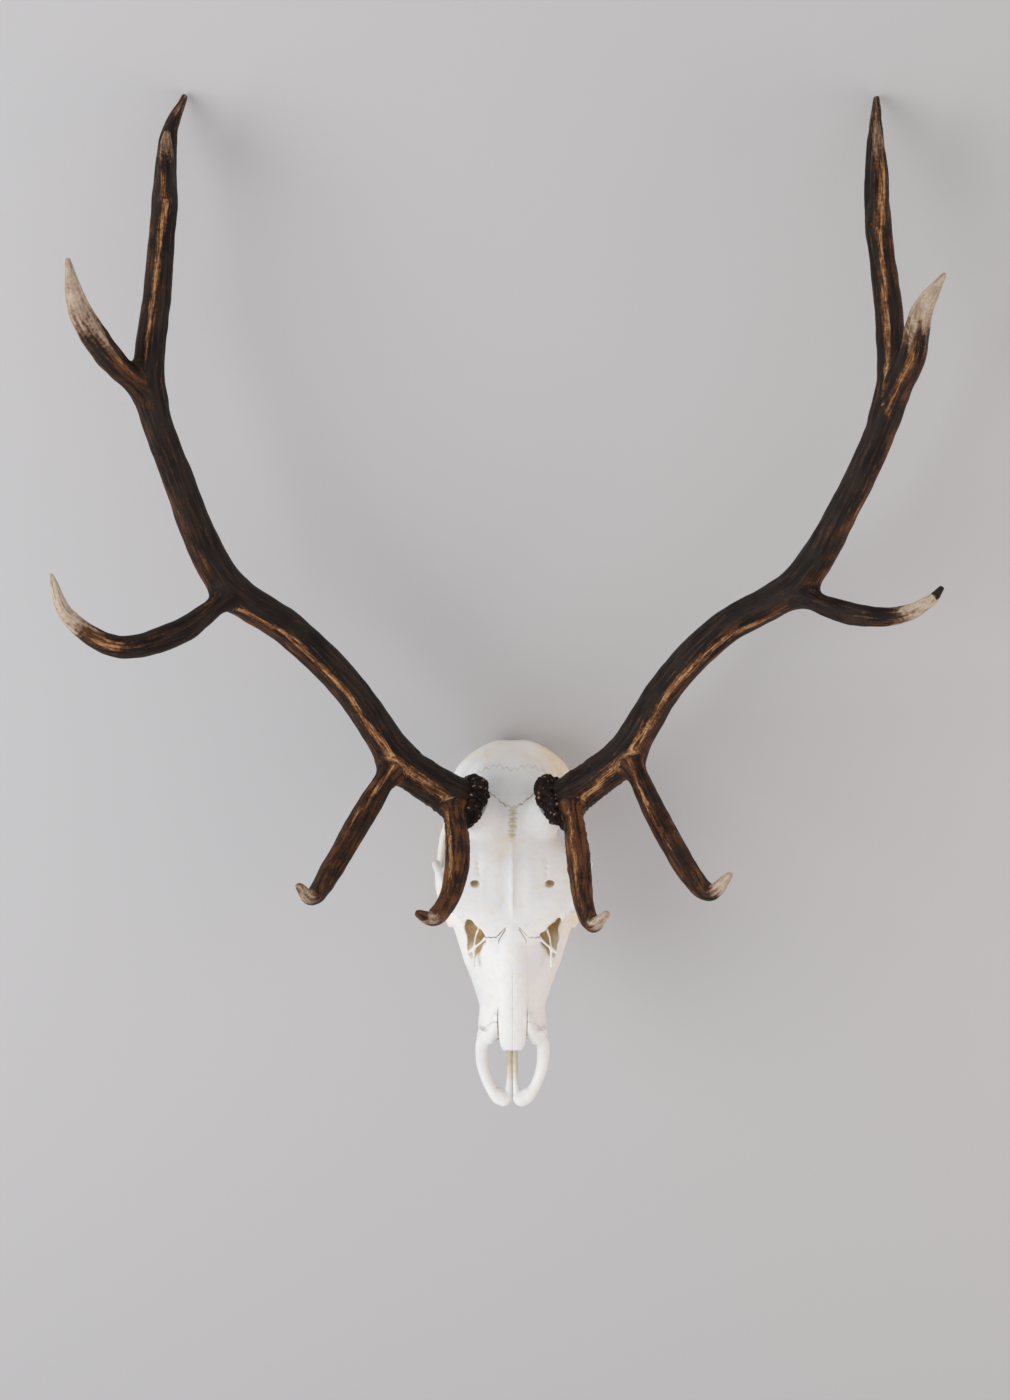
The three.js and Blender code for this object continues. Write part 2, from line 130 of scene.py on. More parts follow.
def laid_down(points):
    """The skull's own frame turned about x by -REST_TILT, moved by REST_SHIFT, and brought to metres."""
    x, y, z = np.asarray(points, float).T
    c, s = math.cos(REST_TILT), math.sin(REST_TILT)
    return (np.column_stack([x, c * y + s * z, c * z - s * y]) + REST_SHIFT) * MM


def unit(vectors):
    """Each vector over its length."""
    return vectors / np.linalg.norm(vectors, axis=-1, keepdims=True)


# ---------- surfaces of two parameters ----------

def course(stations, t):
    """The places and slopes at shares t of a smooth path through the stations.

    Between two stations it is the cubic whose slope at each is half the step between its neighbours."""
    p = np.asarray(stations, float)
    p = np.vstack([2 * p[0] - p[1], p, 2 * p[-1] - p[-2]])
    spans = len(p) - 3
    place = np.clip(np.asarray(t, float) * spans, 0, spans)
    i = np.minimum(place.astype(int), spans - 1)
    u = (place - i)[:, None]
    b, c = p[i + 1], p[i + 2]
    out, into = (c - p[i]) / 2, (p[i + 3] - b) / 2
    at = (2 * u**3 - 3 * u**2 + 1) * b + (u**3 - 2 * u**2 + u) * out
    at = at + (3 * u**2 - 2 * u**3) * c + (u**3 - u**2) * into
    slope = 6 * (u**2 - u) * (b - c) + (3 * u**2 - 4 * u + 1) * out + (3 * u**2 - 2 * u) * into
    return at, slope


def skin(points):
    """A grid of rows by sides as points and quads, where each row closes on itself."""
    rows, sides = points.shape[:2]
    here = np.arange(rows - 1)[:, None] * sides
    side = np.arange(sides)[None, :]
    after = (side + 1) % sides
    quads = np.stack([here + side, here + after, here + sides + after, here + sides + side], -1)
    return points.reshape(-1, 3), quads.reshape(-1, 4).astype(np.uint32)


def capped(count, cap=6):
    """For a closed shape of `count` rings: each row's place along it, its spread and its way past an end.

    The end rows close over a quarter turn a: spread = cos a, and past the end by sin a."""
    quarter = np.linspace(math.pi / 2, 0, cap)
    along = np.concatenate([np.zeros(cap), np.linspace(0, 1, count)[1:-1], np.ones(cap)])
    turn = np.concatenate([quarter, np.zeros(count - 2), quarter[::-1]])
    way = np.concatenate([-np.ones(cap), np.zeros(count - 2), np.ones(cap)])
    return along, np.cos(turn), way * np.sin(turn)


def bar(stations, across=Z, oval=1.0, ends=(0.0, 0.0), swell=0.0, sides=28, rings=9):
    """A ring carried along a path through stations of x, y, z and radius r.

    point = centre + r·cos(a)·sideways + oval·r·sin(a)·upward, and each end bulges by its share of r."""
    along, spread, beyond = capped((len(stations) - 1) * rings + 2)
    at, slope = course(stations, along)
    radius = at[:, 3:] + swell
    forward = unit(slope[:, :3])
    sideways = unit(np.cross(across, forward))
    upward = np.cross(forward, sideways)
    a = np.linspace(0, 2 * math.pi, sides, endpoint=False)[None, :, None]
    ring = np.cos(a) * sideways[:, None] + oval * np.sin(a) * upward[:, None]
    bulge = np.where(beyond < 0, ends[0], ends[1]) * beyond
    middle = at[:, :3] + forward * radius * bulge[:, None]
    return skin(middle[:, None] + ring * (radius * spread[:, None])[:, None])


def hull(stations, square=0.8, ends=(0.0, 0.0), sides=56, rings=9):
    """A section carried along y, through stations of y, low, high, and half-widths bottom, wide and top.

    up = ±|cos a|^square and out = ±|sin a|^square; z = (low + high)/2 + (high - low)/2·up and
    x = out·(wide + (top - bottom)/2·up + ((bottom + top)/2 - wide)·up²). Each end bulges by its mm."""
    along, spread, beyond = capped((len(stations) - 1) * rings + 2)
    at, _ = course(stations, along)
    y, low, high, bottom, wide, top = (column[:, None] for column in at.T)
    a = np.linspace(0, 2 * math.pi, sides, endpoint=False)[None]
    up = np.sign(np.cos(a)) * np.abs(np.cos(a)) ** square
    out = np.sign(np.sin(a)) * np.abs(np.sin(a)) ** square
    reach = wide + (top - bottom) / 2 * up + ((bottom + top) / 2 - wide) * up**2
    spread = spread[:, None]
    x = spread * reach * out
    z = (low + high) / 2 + spread * (high - low) / 2 * up
    bulge = (np.where(beyond < 0, ends[0], ends[1]) * beyond)[:, None] + 0 * a
    return skin(np.stack([x, y + bulge, z], -1))


def egg(place, radii, turn=(0, 0, 0), sides=40, rows=24):
    """An ellipsoid: radii·(sin v·cos u, sin v·sin u, cos v), turned about x, then y, then z in degrees."""
    v = np.linspace(0, math.pi, rows)[:, None]
    u = np.linspace(0, 2 * math.pi, sides, endpoint=False)[None]
    points = np.stack([np.sin(v) * np.cos(u), np.sin(v) * np.sin(u), np.cos(v) + 0 * u], -1) * radii
    spin = np.eye(3)
    for axis, degrees in zip("XYZ", turn):
        spin = np.array(Matrix.Rotation(math.radians(degrees), 3, axis)) @ spin
    return skin(points @ spin.T + place)


def hoop(place, radius, thickness, turn, sides=48, rows=16):
    """A small circle carried round a large one about the x axis, turned about z. It closes both ways."""
    u = np.linspace(0, 2 * math.pi, rows + 1)[:, None]
    v = np.linspace(0, 2 * math.pi, sides, endpoint=False)[None]
    far = radius + thickness * np.cos(u)
    points = np.stack([thickness * np.sin(u) + 0 * v, far * np.cos(v), far * np.sin(v)], -1)
    spin = np.array(Matrix.Rotation(math.radians(turn), 3, "Z"))
    return skin(points @ spin.T + place)


def outward(points, quads):
    """The quads in the order that makes the volume inside them positive."""
    a, b, c, d = (points[quads[:, i]] for i in range(4))
    return quads[:, ::-1] if np.einsum("ij,ij->", a, np.cross(c - a, d - b)) < 0 else quads


# ---------- distances in a block of cells ----------

def merged(a, b, blend):
    """The nearer of two distances, rounded over.

    It is min(a, b) - h²·blend/4, where h = max(blend - |a - b|, 0)/blend."""
    if blend <= 0:
        return np.minimum(a, b)
    h = np.maximum(blend - np.abs(a - b), 0) / np.float32(blend)
    return np.minimum(a, b) - h * h * np.float32(blend / 4)


class Block:
    """A box of cubic cells that holds the distance to a surface at every corner, below zero inside it."""

    def __init__(self, low, high, step, reach):
        self.step, self.reach = step, reach
        self.first = np.floor(np.array(low) / step).astype(int)
        self.last = np.ceil(np.array(high) / step).astype(int)
        self.away = np.full(self.last - self.first + 1, reach, np.float32)

    def axes(self):
        """The x, y and z of the corners, as three arrays that spread over the block."""
        lines = [np.arange(a, b + 1, dtype=np.float32) * self.step for a, b in zip(self.first, self.last)]
        return np.meshgrid(*lines, indexing="ij", sparse=True)

    def near(self, surface):
        """The part of the block round a closed surface, and the distances to that surface there."""
        points, quads = surface
        room = self.reach + 2 * self.step
        low = np.maximum(np.floor((points.min(0) - room) / self.step).astype(int), self.first)
        high = np.minimum(np.ceil((points.max(0) + room) / self.step).astype(int), self.last)
        scale = openvdb.createLinearTransform(voxelSize=self.step)
        level = openvdb.FloatGrid.createLevelSetFromPolygons(
            points.astype(np.float32), quads=quads, transform=scale, halfWidth=self.reach / self.step)
        found = np.empty(high - low + 1, np.float32)
        level.copyToArray(found, ijk=tuple(int(n) for n in low))
        window = tuple(slice(a, b) for a, b in zip(low - self.first, high - self.first + 1))
        return window, found

    def join(self, surface, blend=0.0):
        """Adds what is inside a surface, with a rounded crease."""
        window, found = self.near(surface)
        self.away[window] = merged(self.away[window], found, blend)

    def cut(self, surface, blend=0.0):
        """Takes away what is inside a surface, with a rounded edge."""
        window, found = self.near(surface)
        self.away[window] = -merged(-self.away[window], found, blend)

    def whole(self, surface):
        """The distances to one surface over all of the block."""
        window, found = self.near(surface)
        everywhere = np.full(self.away.shape, self.reach, np.float32)
        everywhere[window] = found
        return everywhere

    def soften(self, passes):
        """Each pass makes a corner half itself and a quarter of each neighbour, along x, y and z in turn."""
        for _ in range(passes):
            for axis in range(3):
                a = np.moveaxis(self.away, axis, 0)
                a[1:-1] = a[1:-1] / 2 + (a[:-2] + a[2:]) / 4

    def sample(self, values, points):
        """Values held at the corners, blended in straight lines to the points."""
        cell = points / self.step - self.first
        base = np.clip(np.floor(cell).astype(int), 0, np.array(values.shape) - 2)
        share = np.clip(cell - base, 0, 1)
        total = np.zeros(len(points))
        for corner in np.ndindex(2, 2, 2):
            weight = np.prod(np.where(corner, share, 1 - share), axis=1)
            total += weight * values[tuple((base + corner).T)]
        return total

    def surface(self, away):
        """The points and quads where the distances pass through zero, facing out, the largest body alone."""
        grid = openvdb.FloatGrid(self.reach)
        grid.transform = openvdb.createLinearTransform(voxelSize=self.step)
        grid.copyFromArray(np.ascontiguousarray(away), ijk=tuple(int(n) for n in self.first), tolerance=0.0)
        points, quads = grid.convertToQuads(isovalue=0.0)
        points, quads = largest(points.astype(float), quads.astype(np.int64))
        return points, outward(points, quads)


def largest(points, quads):
    """The body with the most quads: labels spread along the quads until each body has one."""
    label = np.arange(len(points))
    while True:
        lowest = label[quads].min(axis=1)
        spread = label.copy()
        for i in range(4):
            np.minimum.at(spread, quads[:, i], lowest)
        spread = spread[spread]
        if np.array_equal(spread, label):
            break
        label = spread
    names, counts = np.unique(label[quads[:, 0]], return_counts=True)
    kept = quads[label[quads[:, 0]] == names[counts.argmax()]]
    used, renumbered = np.unique(kept, return_inverse=True)
    return points[used], renumbered.reshape(-1, 4)


def normals(points, quads):
    """The mean of the crossed diagonals of the quads round each point."""
    cross = np.cross(points[quads[:, 2]] - points[quads[:, 0]], points[quads[:, 3]] - points[quads[:, 1]])
    total = [sum(np.bincount(quads[:, i], cross[:, k], len(points)) for i in range(4)) for k in range(3)]
    total = np.column_stack(total)
    return total / np.maximum(np.linalg.norm(total, axis=1, keepdims=True), 1e-9)


def put(name, points, quads, material, nodes, values):
    """A smooth piece at the origin with its place in its mesh, and with `values` as attributes of its points.

    A value is one number or one vector for each point."""
    mesh = bpy.data.meshes.new(name)
    mesh.vertices.add(len(points))
    mesh.vertices.foreach_set("co", laid_down(points).astype(np.float32).ravel())
    mesh.loops.add(quads.size)
    mesh.loops.foreach_set("vertex_index", np.ascontiguousarray(quads, np.int32).ravel())
    mesh.polygons.add(len(quads))
    mesh.polygons.foreach_set("loop_start", np.arange(0, quads.size, quads.shape[1], dtype=np.int32))
    mesh.update(calc_edges=True)
    mesh.validate()
    mesh.shade_smooth()
    for key, numbers in values.items():
        kind, field = ("FLOAT", "value") if np.ndim(numbers) == 1 else ("FLOAT_VECTOR", "vector")
        layer = mesh.attributes.new(key, kind, "POINT")
        layer.data.foreach_set(field, np.asarray(numbers, np.float32).ravel())
    mesh.materials.append(material)
    piece = bpy.data.objects.new(name, mesh)
    bpy.context.scene.collection.objects.link(piece)
    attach(piece, BODY)
    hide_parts(*nodes)


# ---------- the skull's shapes ----------

# Sections along y: y, lowest and highest z, and the half-widths at the bottom, the middle and the top.
BRAIN_CASE = [
    [300, 64, 137, 24, 32, 24], [330, 56, 147, 30, 45, 34], [358, 50, 150, 34, 52, 40],
    [388, 47, 143, 38, 54, 36], [418, 46, 132, 42, 55, 30], [440, 47, 121, 42, 52, 24],
    [455, 54, 111, 32, 38, 18],
]
EYE_WALL = [[240, 72, 116, 16, 26, 30], [290, 62, 122, 18, 27, 36], [345, 54, 122, 24, 34, 36]]
FOREHEAD = [
    [206, 98, 118, 18, 34, 20], [222, 99, 123, 30, 58, 28], [243, 100, 130, 44, 78, 42],
    [262, 104, 135, 44, 88, 54], [282, 106, 140, 44, 91, 58], [304, 106, 145, 40, 80, 54],
    [328, 104, 149, 36, 57, 46], [352, 108, 151, 28, 44, 34],
]
NASAL_ROOF = [
    [70, 69, 80, 9, 12, 8], [80, 71, 84, 13, 16, 10], [104, 75, 90, 15, 17.5, 11], [140, 83, 100, 15, 18, 11],
    [178, 92, 111, 15, 18, 10], [204, 100, 119, 11, 14, 8], [222, 109, 124, 3, 5, 3],
]
NOSE_HOLLOW = [
    [40, 24, 90, 26, 28, 18], [92, 29, 76, 26, 32, 12], [135, 34, 86, 24, 34, 13],
    [178, 44, 92, 16, 24, 12],
]
UPPER_JAW = [
    [84, 24, 74, 30, 40, 14], [102, 19, 86, 33, 43, 18], [128, 16, 94, 32, 42, 18],
    [158, 15, 103, 46, 50, 20], [186, 15, 111, 55, 59, 25], [212, 15, 117, 58, 68, 30],
    [236, 18, 122, 54, 76, 36], [256, 30, 122, 40, 76, 36], [276, 50, 112, 24, 50, 28],
]
BOXY = 0.72  # the forehead's and the jaw's sections are squarer than the others
# Paths with x, y, z and radius. They have a right and a left, so each x is a distance from the middle.
PEDICLE = [[30, 350, 122, 25], [39, 358, 146, 25], [50, 365, 167.5, 21]]
NAPE_CREST = [
    [0, 449, 103, 6], [20, 451, 107, 7], [42, 441, 101, 8], [59, 428, 89, 9], [64, 418, 74, 11],
    [56, 420, 58, 10],
]
EAR_PROCESS = [[48, 428, 66, 12], [44, 438, 46, 8], [40, 444, 28, 4]]
PALATE_WING = [[21, 240, 34, 8], [18, 270, 37, 5], [18, 294, 45, 5], [21, 318, 62, 9]]
CHEEK_ARCH = [
    [70, 232, 60, 12], [84, 256, 64, 9], [92, 280, 66, 6.5], [91, 310, 71, 5.5], [87, 340, 77, 5.5],
    [76, 366, 82, 7], [62, 384, 82, 9],
]
CHEEK_OVAL = 1.35
NOSE_ARM = [
    [32, 98, 64, 11], [38, 74, 50, 9], [37.5, 52, 38, 7.5], [30, 30, 29, 7], [19.5, 14, 23, 8],
    [10, 9, 20, 8.5],
]
NOSE_TIP = [[21, 20, 24, 7], [12, 14, 21, 8.5], [4, 9.5, 20, 7.5]]
NOSE_WEB = [[17, 114, 82, 6], [22, 98, 74, 7.5], [29, 84, 62, 8]]
PALATE_BAR = [[6, 12, 20, 6.5], [3.9, 34, 23, 3.9], [3.7, 64, 27, 3.6], [3.6, 96, 31, 3.2]]
BROW_HOLE = [[44.5, 267, 144, 4.6], [47, 273, 132, 4.0], [49, 277, 127, 3]]
CHEEK_HOLE = [[30, 132, 48, 5], [52, 118, 48, 5]]
SPINE_HOLE = [[0, 415, 70, 13], [0, 480, 58, 13]]
# Knobs and hollows: the middle, the radii, and the turns about x, y and z in degrees on the left side.
EYE_HOLLOW = ((90, 273, 99), (42, 26, 25), (0, 0, -20))
SPINE_KNOB = ((18, 452, 57), (12, 14, 17), (0, 0, 25))
EAR_BULB = ((31, 396, 47), (10, 16, 12), (0, 0, 0))
JAW_SOCKET = ((58, 382, 80), (20, 18, 9), (0, 0, 0))
TEAR_PIT = ((68, 222, 92), (9, 15, 10), (0, 40, 0))
THROAT = ((0, 268, 44), (13, 34, 15))
PALATE_VAULT = ((0, 176, 6), (30, 92, 20))
EYE_RIM = {"place": (86, 273, 99), "radius": 30, "thickness": 5.5, "turn": -20}
# The pierced place in front of each eye: its corners across the skull and up its front, how far they are
# rounded, its floor, and how deep and how long the waves of its edge are. Strands of bone lie over it.
TEAR_GAP = {
    "corners": ((60, 254), (31, 227), (53, 187)), "round": 9, "floor": 30, "ragged": 1.4, "waves": (2.9, 4.1),
}
STRANDS = (
    [[32, 209, 106, 2.4], [42, 200, 102, 1.5], [56, 190, 91, 2.4]],
    [[40, 224, 107, 2.0], [47, 206, 99, 1.3], [49, 172, 91, 2.2]],
)
# Where the forehead meets the face: how far up the front it is, by the distance from the middle.
BROW_LINE = ((0, 247), (8, 240), (20, 227), (33, 226), (59, 253), (95, 249))
# The outer edge of the nasal bones: its distance from the middle, by y.
NASAL_EDGE = ((60, 13), (80, 17), (104, 18.5), (150, 18.5), (204, 17), (229, 0))
# The other seams between bones. A seam's teeth are `period` apart.
CORONAL = {"y": 367, "z": 150, "back": 0.85, "down": 0.53, "bend": 32, "most": 24, "lean": 0.4, "period": 7.0}
FACE_PERIOD = 6.0
BASE_SEAM = {"z": 84, "wave": 9, "period": 8.0}
PALATE_SEAM = {"y": 278, "wave": 6}
JAW_SEAM = {"y": 105, "inner": 20, "reach": 23, "most": 1.4, "drop": 17, "period": 7.0}
ARCH_SWELL = 2.2  # how far the bone of the cheek arch reaches round its bar
RIM_SWELL = 2.0
ARCH_TOP = 92  # the lower part of the eye's rim belongs to the cheek arch
OVERLAP = 1.2  # where a seam has closed, both bones run on this far under it
# The knitted seams on top of the skull, which are only drawn.
BROW_SEAM = {"along": (316, 352, 360, 368), "swing": 3.0, "period": 8.0, "width": 1.3, "above": 100}
NAPE_SEAM = {
    "y": 426, "dip": 9, "reach": 17, "straight": 20, "fall": 0.45, "period": 9.0, "swing": 2.6, "width": 1.3,
    "above": 78, "half": 56,
}
TOOTH_LENGTHS = (16, 17, 16, 22, 25, 27)
TOOTH_ROW = {"front": 116, "height": 26, "narrow": 14, "wide": 23, "x": 32, "bow": 11}
TOOTH_FORM = {
    "rings": 44, "sides": 72, "inset": 1.2, "gap": 0.45, "taper": 0.18, "rib": 0.07,
    "sunk": 1.5, "crown": 2.6, "crest": 2.0, "lowest": 0.15,
}
SOCKET_ROOM = 0.6  # how much narrower than its tooth a socket is
SKULL_BOX = ((-108, -10, -8), (108, 488, 184))
SKULL_REACH = 10.0  # how far from a surface distances are held
# Low relief: its height, its half-width, and where along y it starts, is full, fades and ends.
MIDDLE_CREST = {"height": 2.2, "width": 2.6, "along": (222, 250, 306, 336)}
BROW_DISH = {"depth": 1.5, "x": 11, "width": 7}
FACE_CREST = {"height": 1.9, "width": 5.5, "y": 175, "z": 52, "rise": 0.27, "along": (160, 190, 236, 262)}
TEMPLE_LINE = {"height": 1.0, "width": 2.6, "x": 41, "y": 385, "inward": 0.12, "along": (384, 396, 420, 438)}
ROOT_RIBS = {"height": 0.55, "pitch": 20.5, "along": (112, 120, 236, 246), "z": (36, 56)}
BROW_PITS = {"depth": 1.1, "x": 42, "y": 284, "step": (1, 7), "count": 3, "width": 1.3}
BROW_GROOVE = {"depth": 1.1, "x": 42, "y": 292, "width": 3.5, "length": 18}
SEAM_DEPTH = 0.5
ROOF_Z = 96  # above this is the top of the skull
WAVES = ((0.25, 11.0, 3), (0.12, 4.0, 4))  # height, size and seed of the unevenness all over
LARGE_BONES = ("braincase", "forehead", "upper_jaw")
PAIRED_BONES = ("nasal_bone", "premaxilla", "cheek_arch")


def sided(stations, side):
    """The stations of a path for the left side, or mirrored for the right."""
    return [[side * x, *rest] for x, *rest in stations]


def sided_egg(numbers, side):
    """A knob or hollow for the left side, or mirrored for the right."""
    (x, y, z), radii, (about_x, about_y, about_z) = numbers
    return egg((side * x, y, z), radii, (about_x, side * about_y, side * about_z))


def eye_rim(side):
    """The ring of bone round the eye."""
    x, y, z = EYE_RIM["place"]
    return hoop((side * x, y, z), EYE_RIM["radius"], EYE_RIM["thickness"], side * EYE_RIM["turn"])


def cheek_arch(side, swell=0.0):
    """The bar of bone under and behind the eye."""
    return bar(sided(CHEEK_ARCH, side), oval=CHEEK_OVAL, swell=swell)


def tooth_places():
    """For each tooth from the front: its distance from the skull's middle, its y, its length and its width.

    Width and distance grow with the sine of the share of the row."""
    front = TOOTH_ROW["front"]
    for i, length in enumerate(TOOTH_LENGTHS):
        share = i / (len(TOOTH_LENGTHS) - 1)
        growth = math.sin(share * 0.62 * math.pi)
        width = TOOTH_ROW["narrow"] + (TOOTH_ROW["wide"] - TOOTH_ROW["narrow"]) * growth
        x = TOOTH_ROW["x"] + TOOTH_ROW["bow"] * math.sin(share * 0.5 * math.pi)
        yield x, front + length / 2, length, width
        front += length


def outline(u, v, corners, blend):
    """How far outside a rounded outline a place is: the most that it lies past a line between two corners."""
    away = None
    for (a, b), (c, d) in zip(corners, corners[1:] + corners[:1]):
        past = ((u - a) * (d - b) - (v - b) * (c - a)) / math.hypot(c - a, d - b)
        away = past if away is None else -merged(-away, -past, blend)
    return away


def coronal_distance(x, y, z, wave):
    """How far behind the seam between forehead and brain case a place is.

    It is a tilted plane that bends back by x² at the sides, with the zigzag of the seam's teeth."""
    plane = CORONAL["back"] * (y - CORONAL["y"]) - CORONAL["down"] * (z - CORONAL["z"])
    bend = np.minimum(x * x / CORONAL["bend"], CORONAL["most"])
    return plane - bend + wave * zigzag(x + CORONAL["lean"] * z, CORONAL["period"])


def bone_regions(block, up, wave):
    """For each bone, how far outside its part of the skull every corner of the block is.

    Each seam is a distance that is above zero on the side that it names. A region is the largest of its
    seams' distances where all of them bound it, and the smallest where one is enough."""
    x, y, z = block.axes()
    aside = np.abs(x)
    behind_coronal = coronal_distance(x, y, z, wave)
    above_face = up - np.interp(aside, *zip(*BROW_LINE)) + wave * 0.5 * zigzag(x + y, FACE_PERIOD)
    above_base = z - BASE_SEAM["z"] + wave * np.sin(y / BASE_SEAM["wave"])
    above_base = above_base + wave * zigzag(y, BASE_SEAM["period"]) / 2
    behind_palate = y - PALATE_SEAM["y"] + wave * np.sin(z / PALATE_SEAM["wave"])
    bars = np.minimum(*[block.whole(cheek_arch(side, ARCH_SWELL)) for side in SIDES.values()])
    rims = np.minimum(*[block.whole(eye_rim(side)) for side in SIDES.values()]) - RIM_SWELL
    arches = np.minimum(bars, np.maximum(rims, z - ARCH_TOP))
    roof_y, roof_z = np.array(NASAL_ROOF)[:, :2].T
    roof = np.maximum(aside - np.interp(y, *zip(*NASAL_EDGE)), np.interp(y, roof_y, roof_z) - z)
    bend = np.clip((aside - JAW_SEAM["inner"]) / JAW_SEAM["reach"], 0, JAW_SEAM["most"])
    before_jaw = y - JAW_SEAM["y"] + JAW_SEAM["drop"] * bend**2
    before_jaw = before_jaw + 0.4 * wave * zigzag(x + z, JAW_SEAM["period"])
    return {
        "cheek_arch": arches,
        "premaxilla": np.maximum(before_jaw, -roof),
        "nasal_bone": np.maximum(roof, -arches),
        "forehead": np.maximum(behind_coronal, np.maximum(-above_face, -above_base)),
        "braincase": np.minimum(-behind_coronal, np.maximum(above_base, -behind_palate)),
        "upper_jaw": np.maximum(np.minimum(above_face, above_base), behind_palate),
    }


@functools.lru_cache(maxsize=1)
def skull(step, blend, wave):
    """The whole skull as a block of distances, its distances before the hollows were cut, and its regions.

    Masses are joined with rounded creases, softened, then cut by the hollows. The number after a surface is
    the width of its crease in mm."""
    block = Block(*SKULL_BOX, step, SKULL_REACH)
    wide = 1.2 * blend
    nose = hull(NASAL_ROOF)
    for surface in (hull(BRAIN_CASE, ends=(0, 4)), hull(EYE_WALL), hull(UPPER_JAW, BOXY)):
        block.join(surface, blend)
    block.join(hull(FOREHEAD, BOXY), wide)
    block.soften(6)
    for side in SIDES.values():
        block.join(bar(sided(PEDICLE, side), across=Y), wide)
    for side in SIDES.values():
        block.cut(sided_egg(EYE_HOLLOW, side), 3)
        for surface, crease in (
            (eye_rim(side), 4),
            (cheek_arch(side), 6),
            (bar(sided(NAPE_CREST, side), ends=(0, 0.5)), wide),
            (bar(sided(EAR_PROCESS, side), across=X, ends=(0, 0.6)), 6),
            (sided_egg(SPINE_KNOB, side), 4),
            (sided_egg(EAR_BULB, side), 4),
            (sided_egg(JAW_SOCKET, side), blend),
            (bar(sided(PALATE_WING, side), oval=1.5), 5),
            (bar(sided(NOSE_ARM, side), ends=(0, 0.5)), 4),
            (bar(sided(NOSE_WEB, side), ends=(0, 0.5)), 5),
            (bar(sided(NOSE_TIP, side), ends=(0.3, 0.3)), 4),
        ):
            block.join(surface, crease)
    block.join(nose, 3)
    block.soften(1)
    uncut = block.away.copy()
    block.cut(hull(NOSE_HOLLOW), 2)
    block.cut(egg(*THROAT), 3)
    block.cut(egg(*PALATE_VAULT), 4)
    block.cut(bar(SPINE_HOLE), 2)
    for side in SIDES.values():
        block.cut(sided_egg(TEAR_PIT, side), 4)
        block.cut(bar(sided(BROW_HOLE, side), across=X, oval=1.35), 2)
        block.cut(bar(sided(CHEEK_HOLE, side)), 2)
        block.join(bar(sided(PALATE_BAR, side), ends=(0.4, 0)), 2)
    x, y, z = block.axes()
    up, out = FRONT[2] * y - FRONT[1] * z, FRONT[1] * y + FRONT[2] * z
    across, along = TEAR_GAP["waves"]
    ragged = TEAR_GAP["ragged"] * np.sin(x / across) * np.sin(up / along + 1)
    edge = outline(np.abs(x), up, TEAR_GAP["corners"], TEAR_GAP["round"]) + ragged
    block.away = -merged(-block.away, np.maximum(edge, TEAR_GAP["floor"] - out), 4)
    for side in SIDES.values():
        for strand in STRANDS:
            block.join(bar(sided(strand, side), sides=12), 3)
    behind_nose = 180  # the nasal bones are whole in front of this, whatever was cut under them
    block.away = np.where(y < behind_nose, np.minimum(block.away, block.whole(nose)), block.away)
    return block, uncut, bone_regions(block, up, wave)


def suture_lines(points):
    """How near a point on top of the skull is to the knitted seams: between the brows, and across the back.

    The first swings from side to side of the middle. The second dips in the middle and falls at the sides."""
    x, y, z = points.T
    knit = span(y, *BROW_SEAM["along"])
    swing = BROW_SEAM["swing"] * knit * zigzag(y, BROW_SEAM["period"])
    brow = hump(x - swing, BROW_SEAM["width"]) * knit * (z > BROW_SEAM["above"])
    fall = NAPE_SEAM["fall"] * np.maximum(np.abs(x) - NAPE_SEAM["straight"], 0)
    middle = NAPE_SEAM["y"] - NAPE_SEAM["dip"] * hump(x, NAPE_SEAM["reach"]) - fall
    off = y - middle - NAPE_SEAM["swing"] * zigzag(x, NAPE_SEAM["period"])
    shown = (z > NAPE_SEAM["above"]) * (np.abs(x) < NAPE_SEAM["half"])
    return brow, hump(off, NAPE_SEAM["width"]) * shown


def bone_relief(points):
    """How far the bone's surface stands out in mm: low crests, ribs over the tooth roots, pits and waves.

    A crest is a bell across its line, faded in and out along it."""
    x, y, z = points.T
    aside = np.abs(x)
    crest = MIDDLE_CREST["height"] * hump(x, MIDDLE_CREST["width"])
    crest = crest - BROW_DISH["depth"] * hump(aside - BROW_DISH["x"], BROW_DISH["width"])
    crest = crest * span(y, *MIDDLE_CREST["along"])
    brow, nape = suture_lines(points)
    out, back = BROW_PITS["step"]
    pits = sum(
        hump(np.hypot(aside - BROW_PITS["x"] - out * n, y - BROW_PITS["y"] - back * n), BROW_PITS["width"])
        for n in range(BROW_PITS["count"]))
    groove = hump(aside - BROW_GROOVE["x"], BROW_GROOVE["width"])
    groove = groove * hump(y - BROW_GROOVE["y"], BROW_GROOVE["length"])
    top = crest - SEAM_DEPTH * (brow + nape) - BROW_PITS["depth"] * pits - BROW_GROOVE["depth"] * groove
    off = z - FACE_CREST["z"] - FACE_CREST["rise"] * (y - FACE_CREST["y"])
    face = FACE_CREST["height"] * hump(off, FACE_CREST["width"])
    face = face * span(y, *FACE_CREST["along"]) * (aside > 36)
    off = aside - TEMPLE_LINE["x"] + TEMPLE_LINE["inward"] * (y - TEMPLE_LINE["y"])
    temple = TEMPLE_LINE["height"] * hump(off, TEMPLE_LINE["width"])
    temple = temple * span(y, *TEMPLE_LINE["along"]) * (z > 84)
    ribs = np.maximum(np.cos(2 * math.pi * (y - TOOTH_ROW["front"] - 8) / ROOT_RIBS["pitch"]), -0.3)
    full, end = ROOT_RIBS["z"]
    ribs = ROOT_RIBS["height"] * ribs * ramp(-z, -end, -full) * span(y, *ROOT_RIBS["along"]) * (aside > 38)
    waves = sum(height * noise(points, size, seed) for height, size, seed in WAVES)
    return top * (z > ROOF_Z) + face + temple + ribs + waves


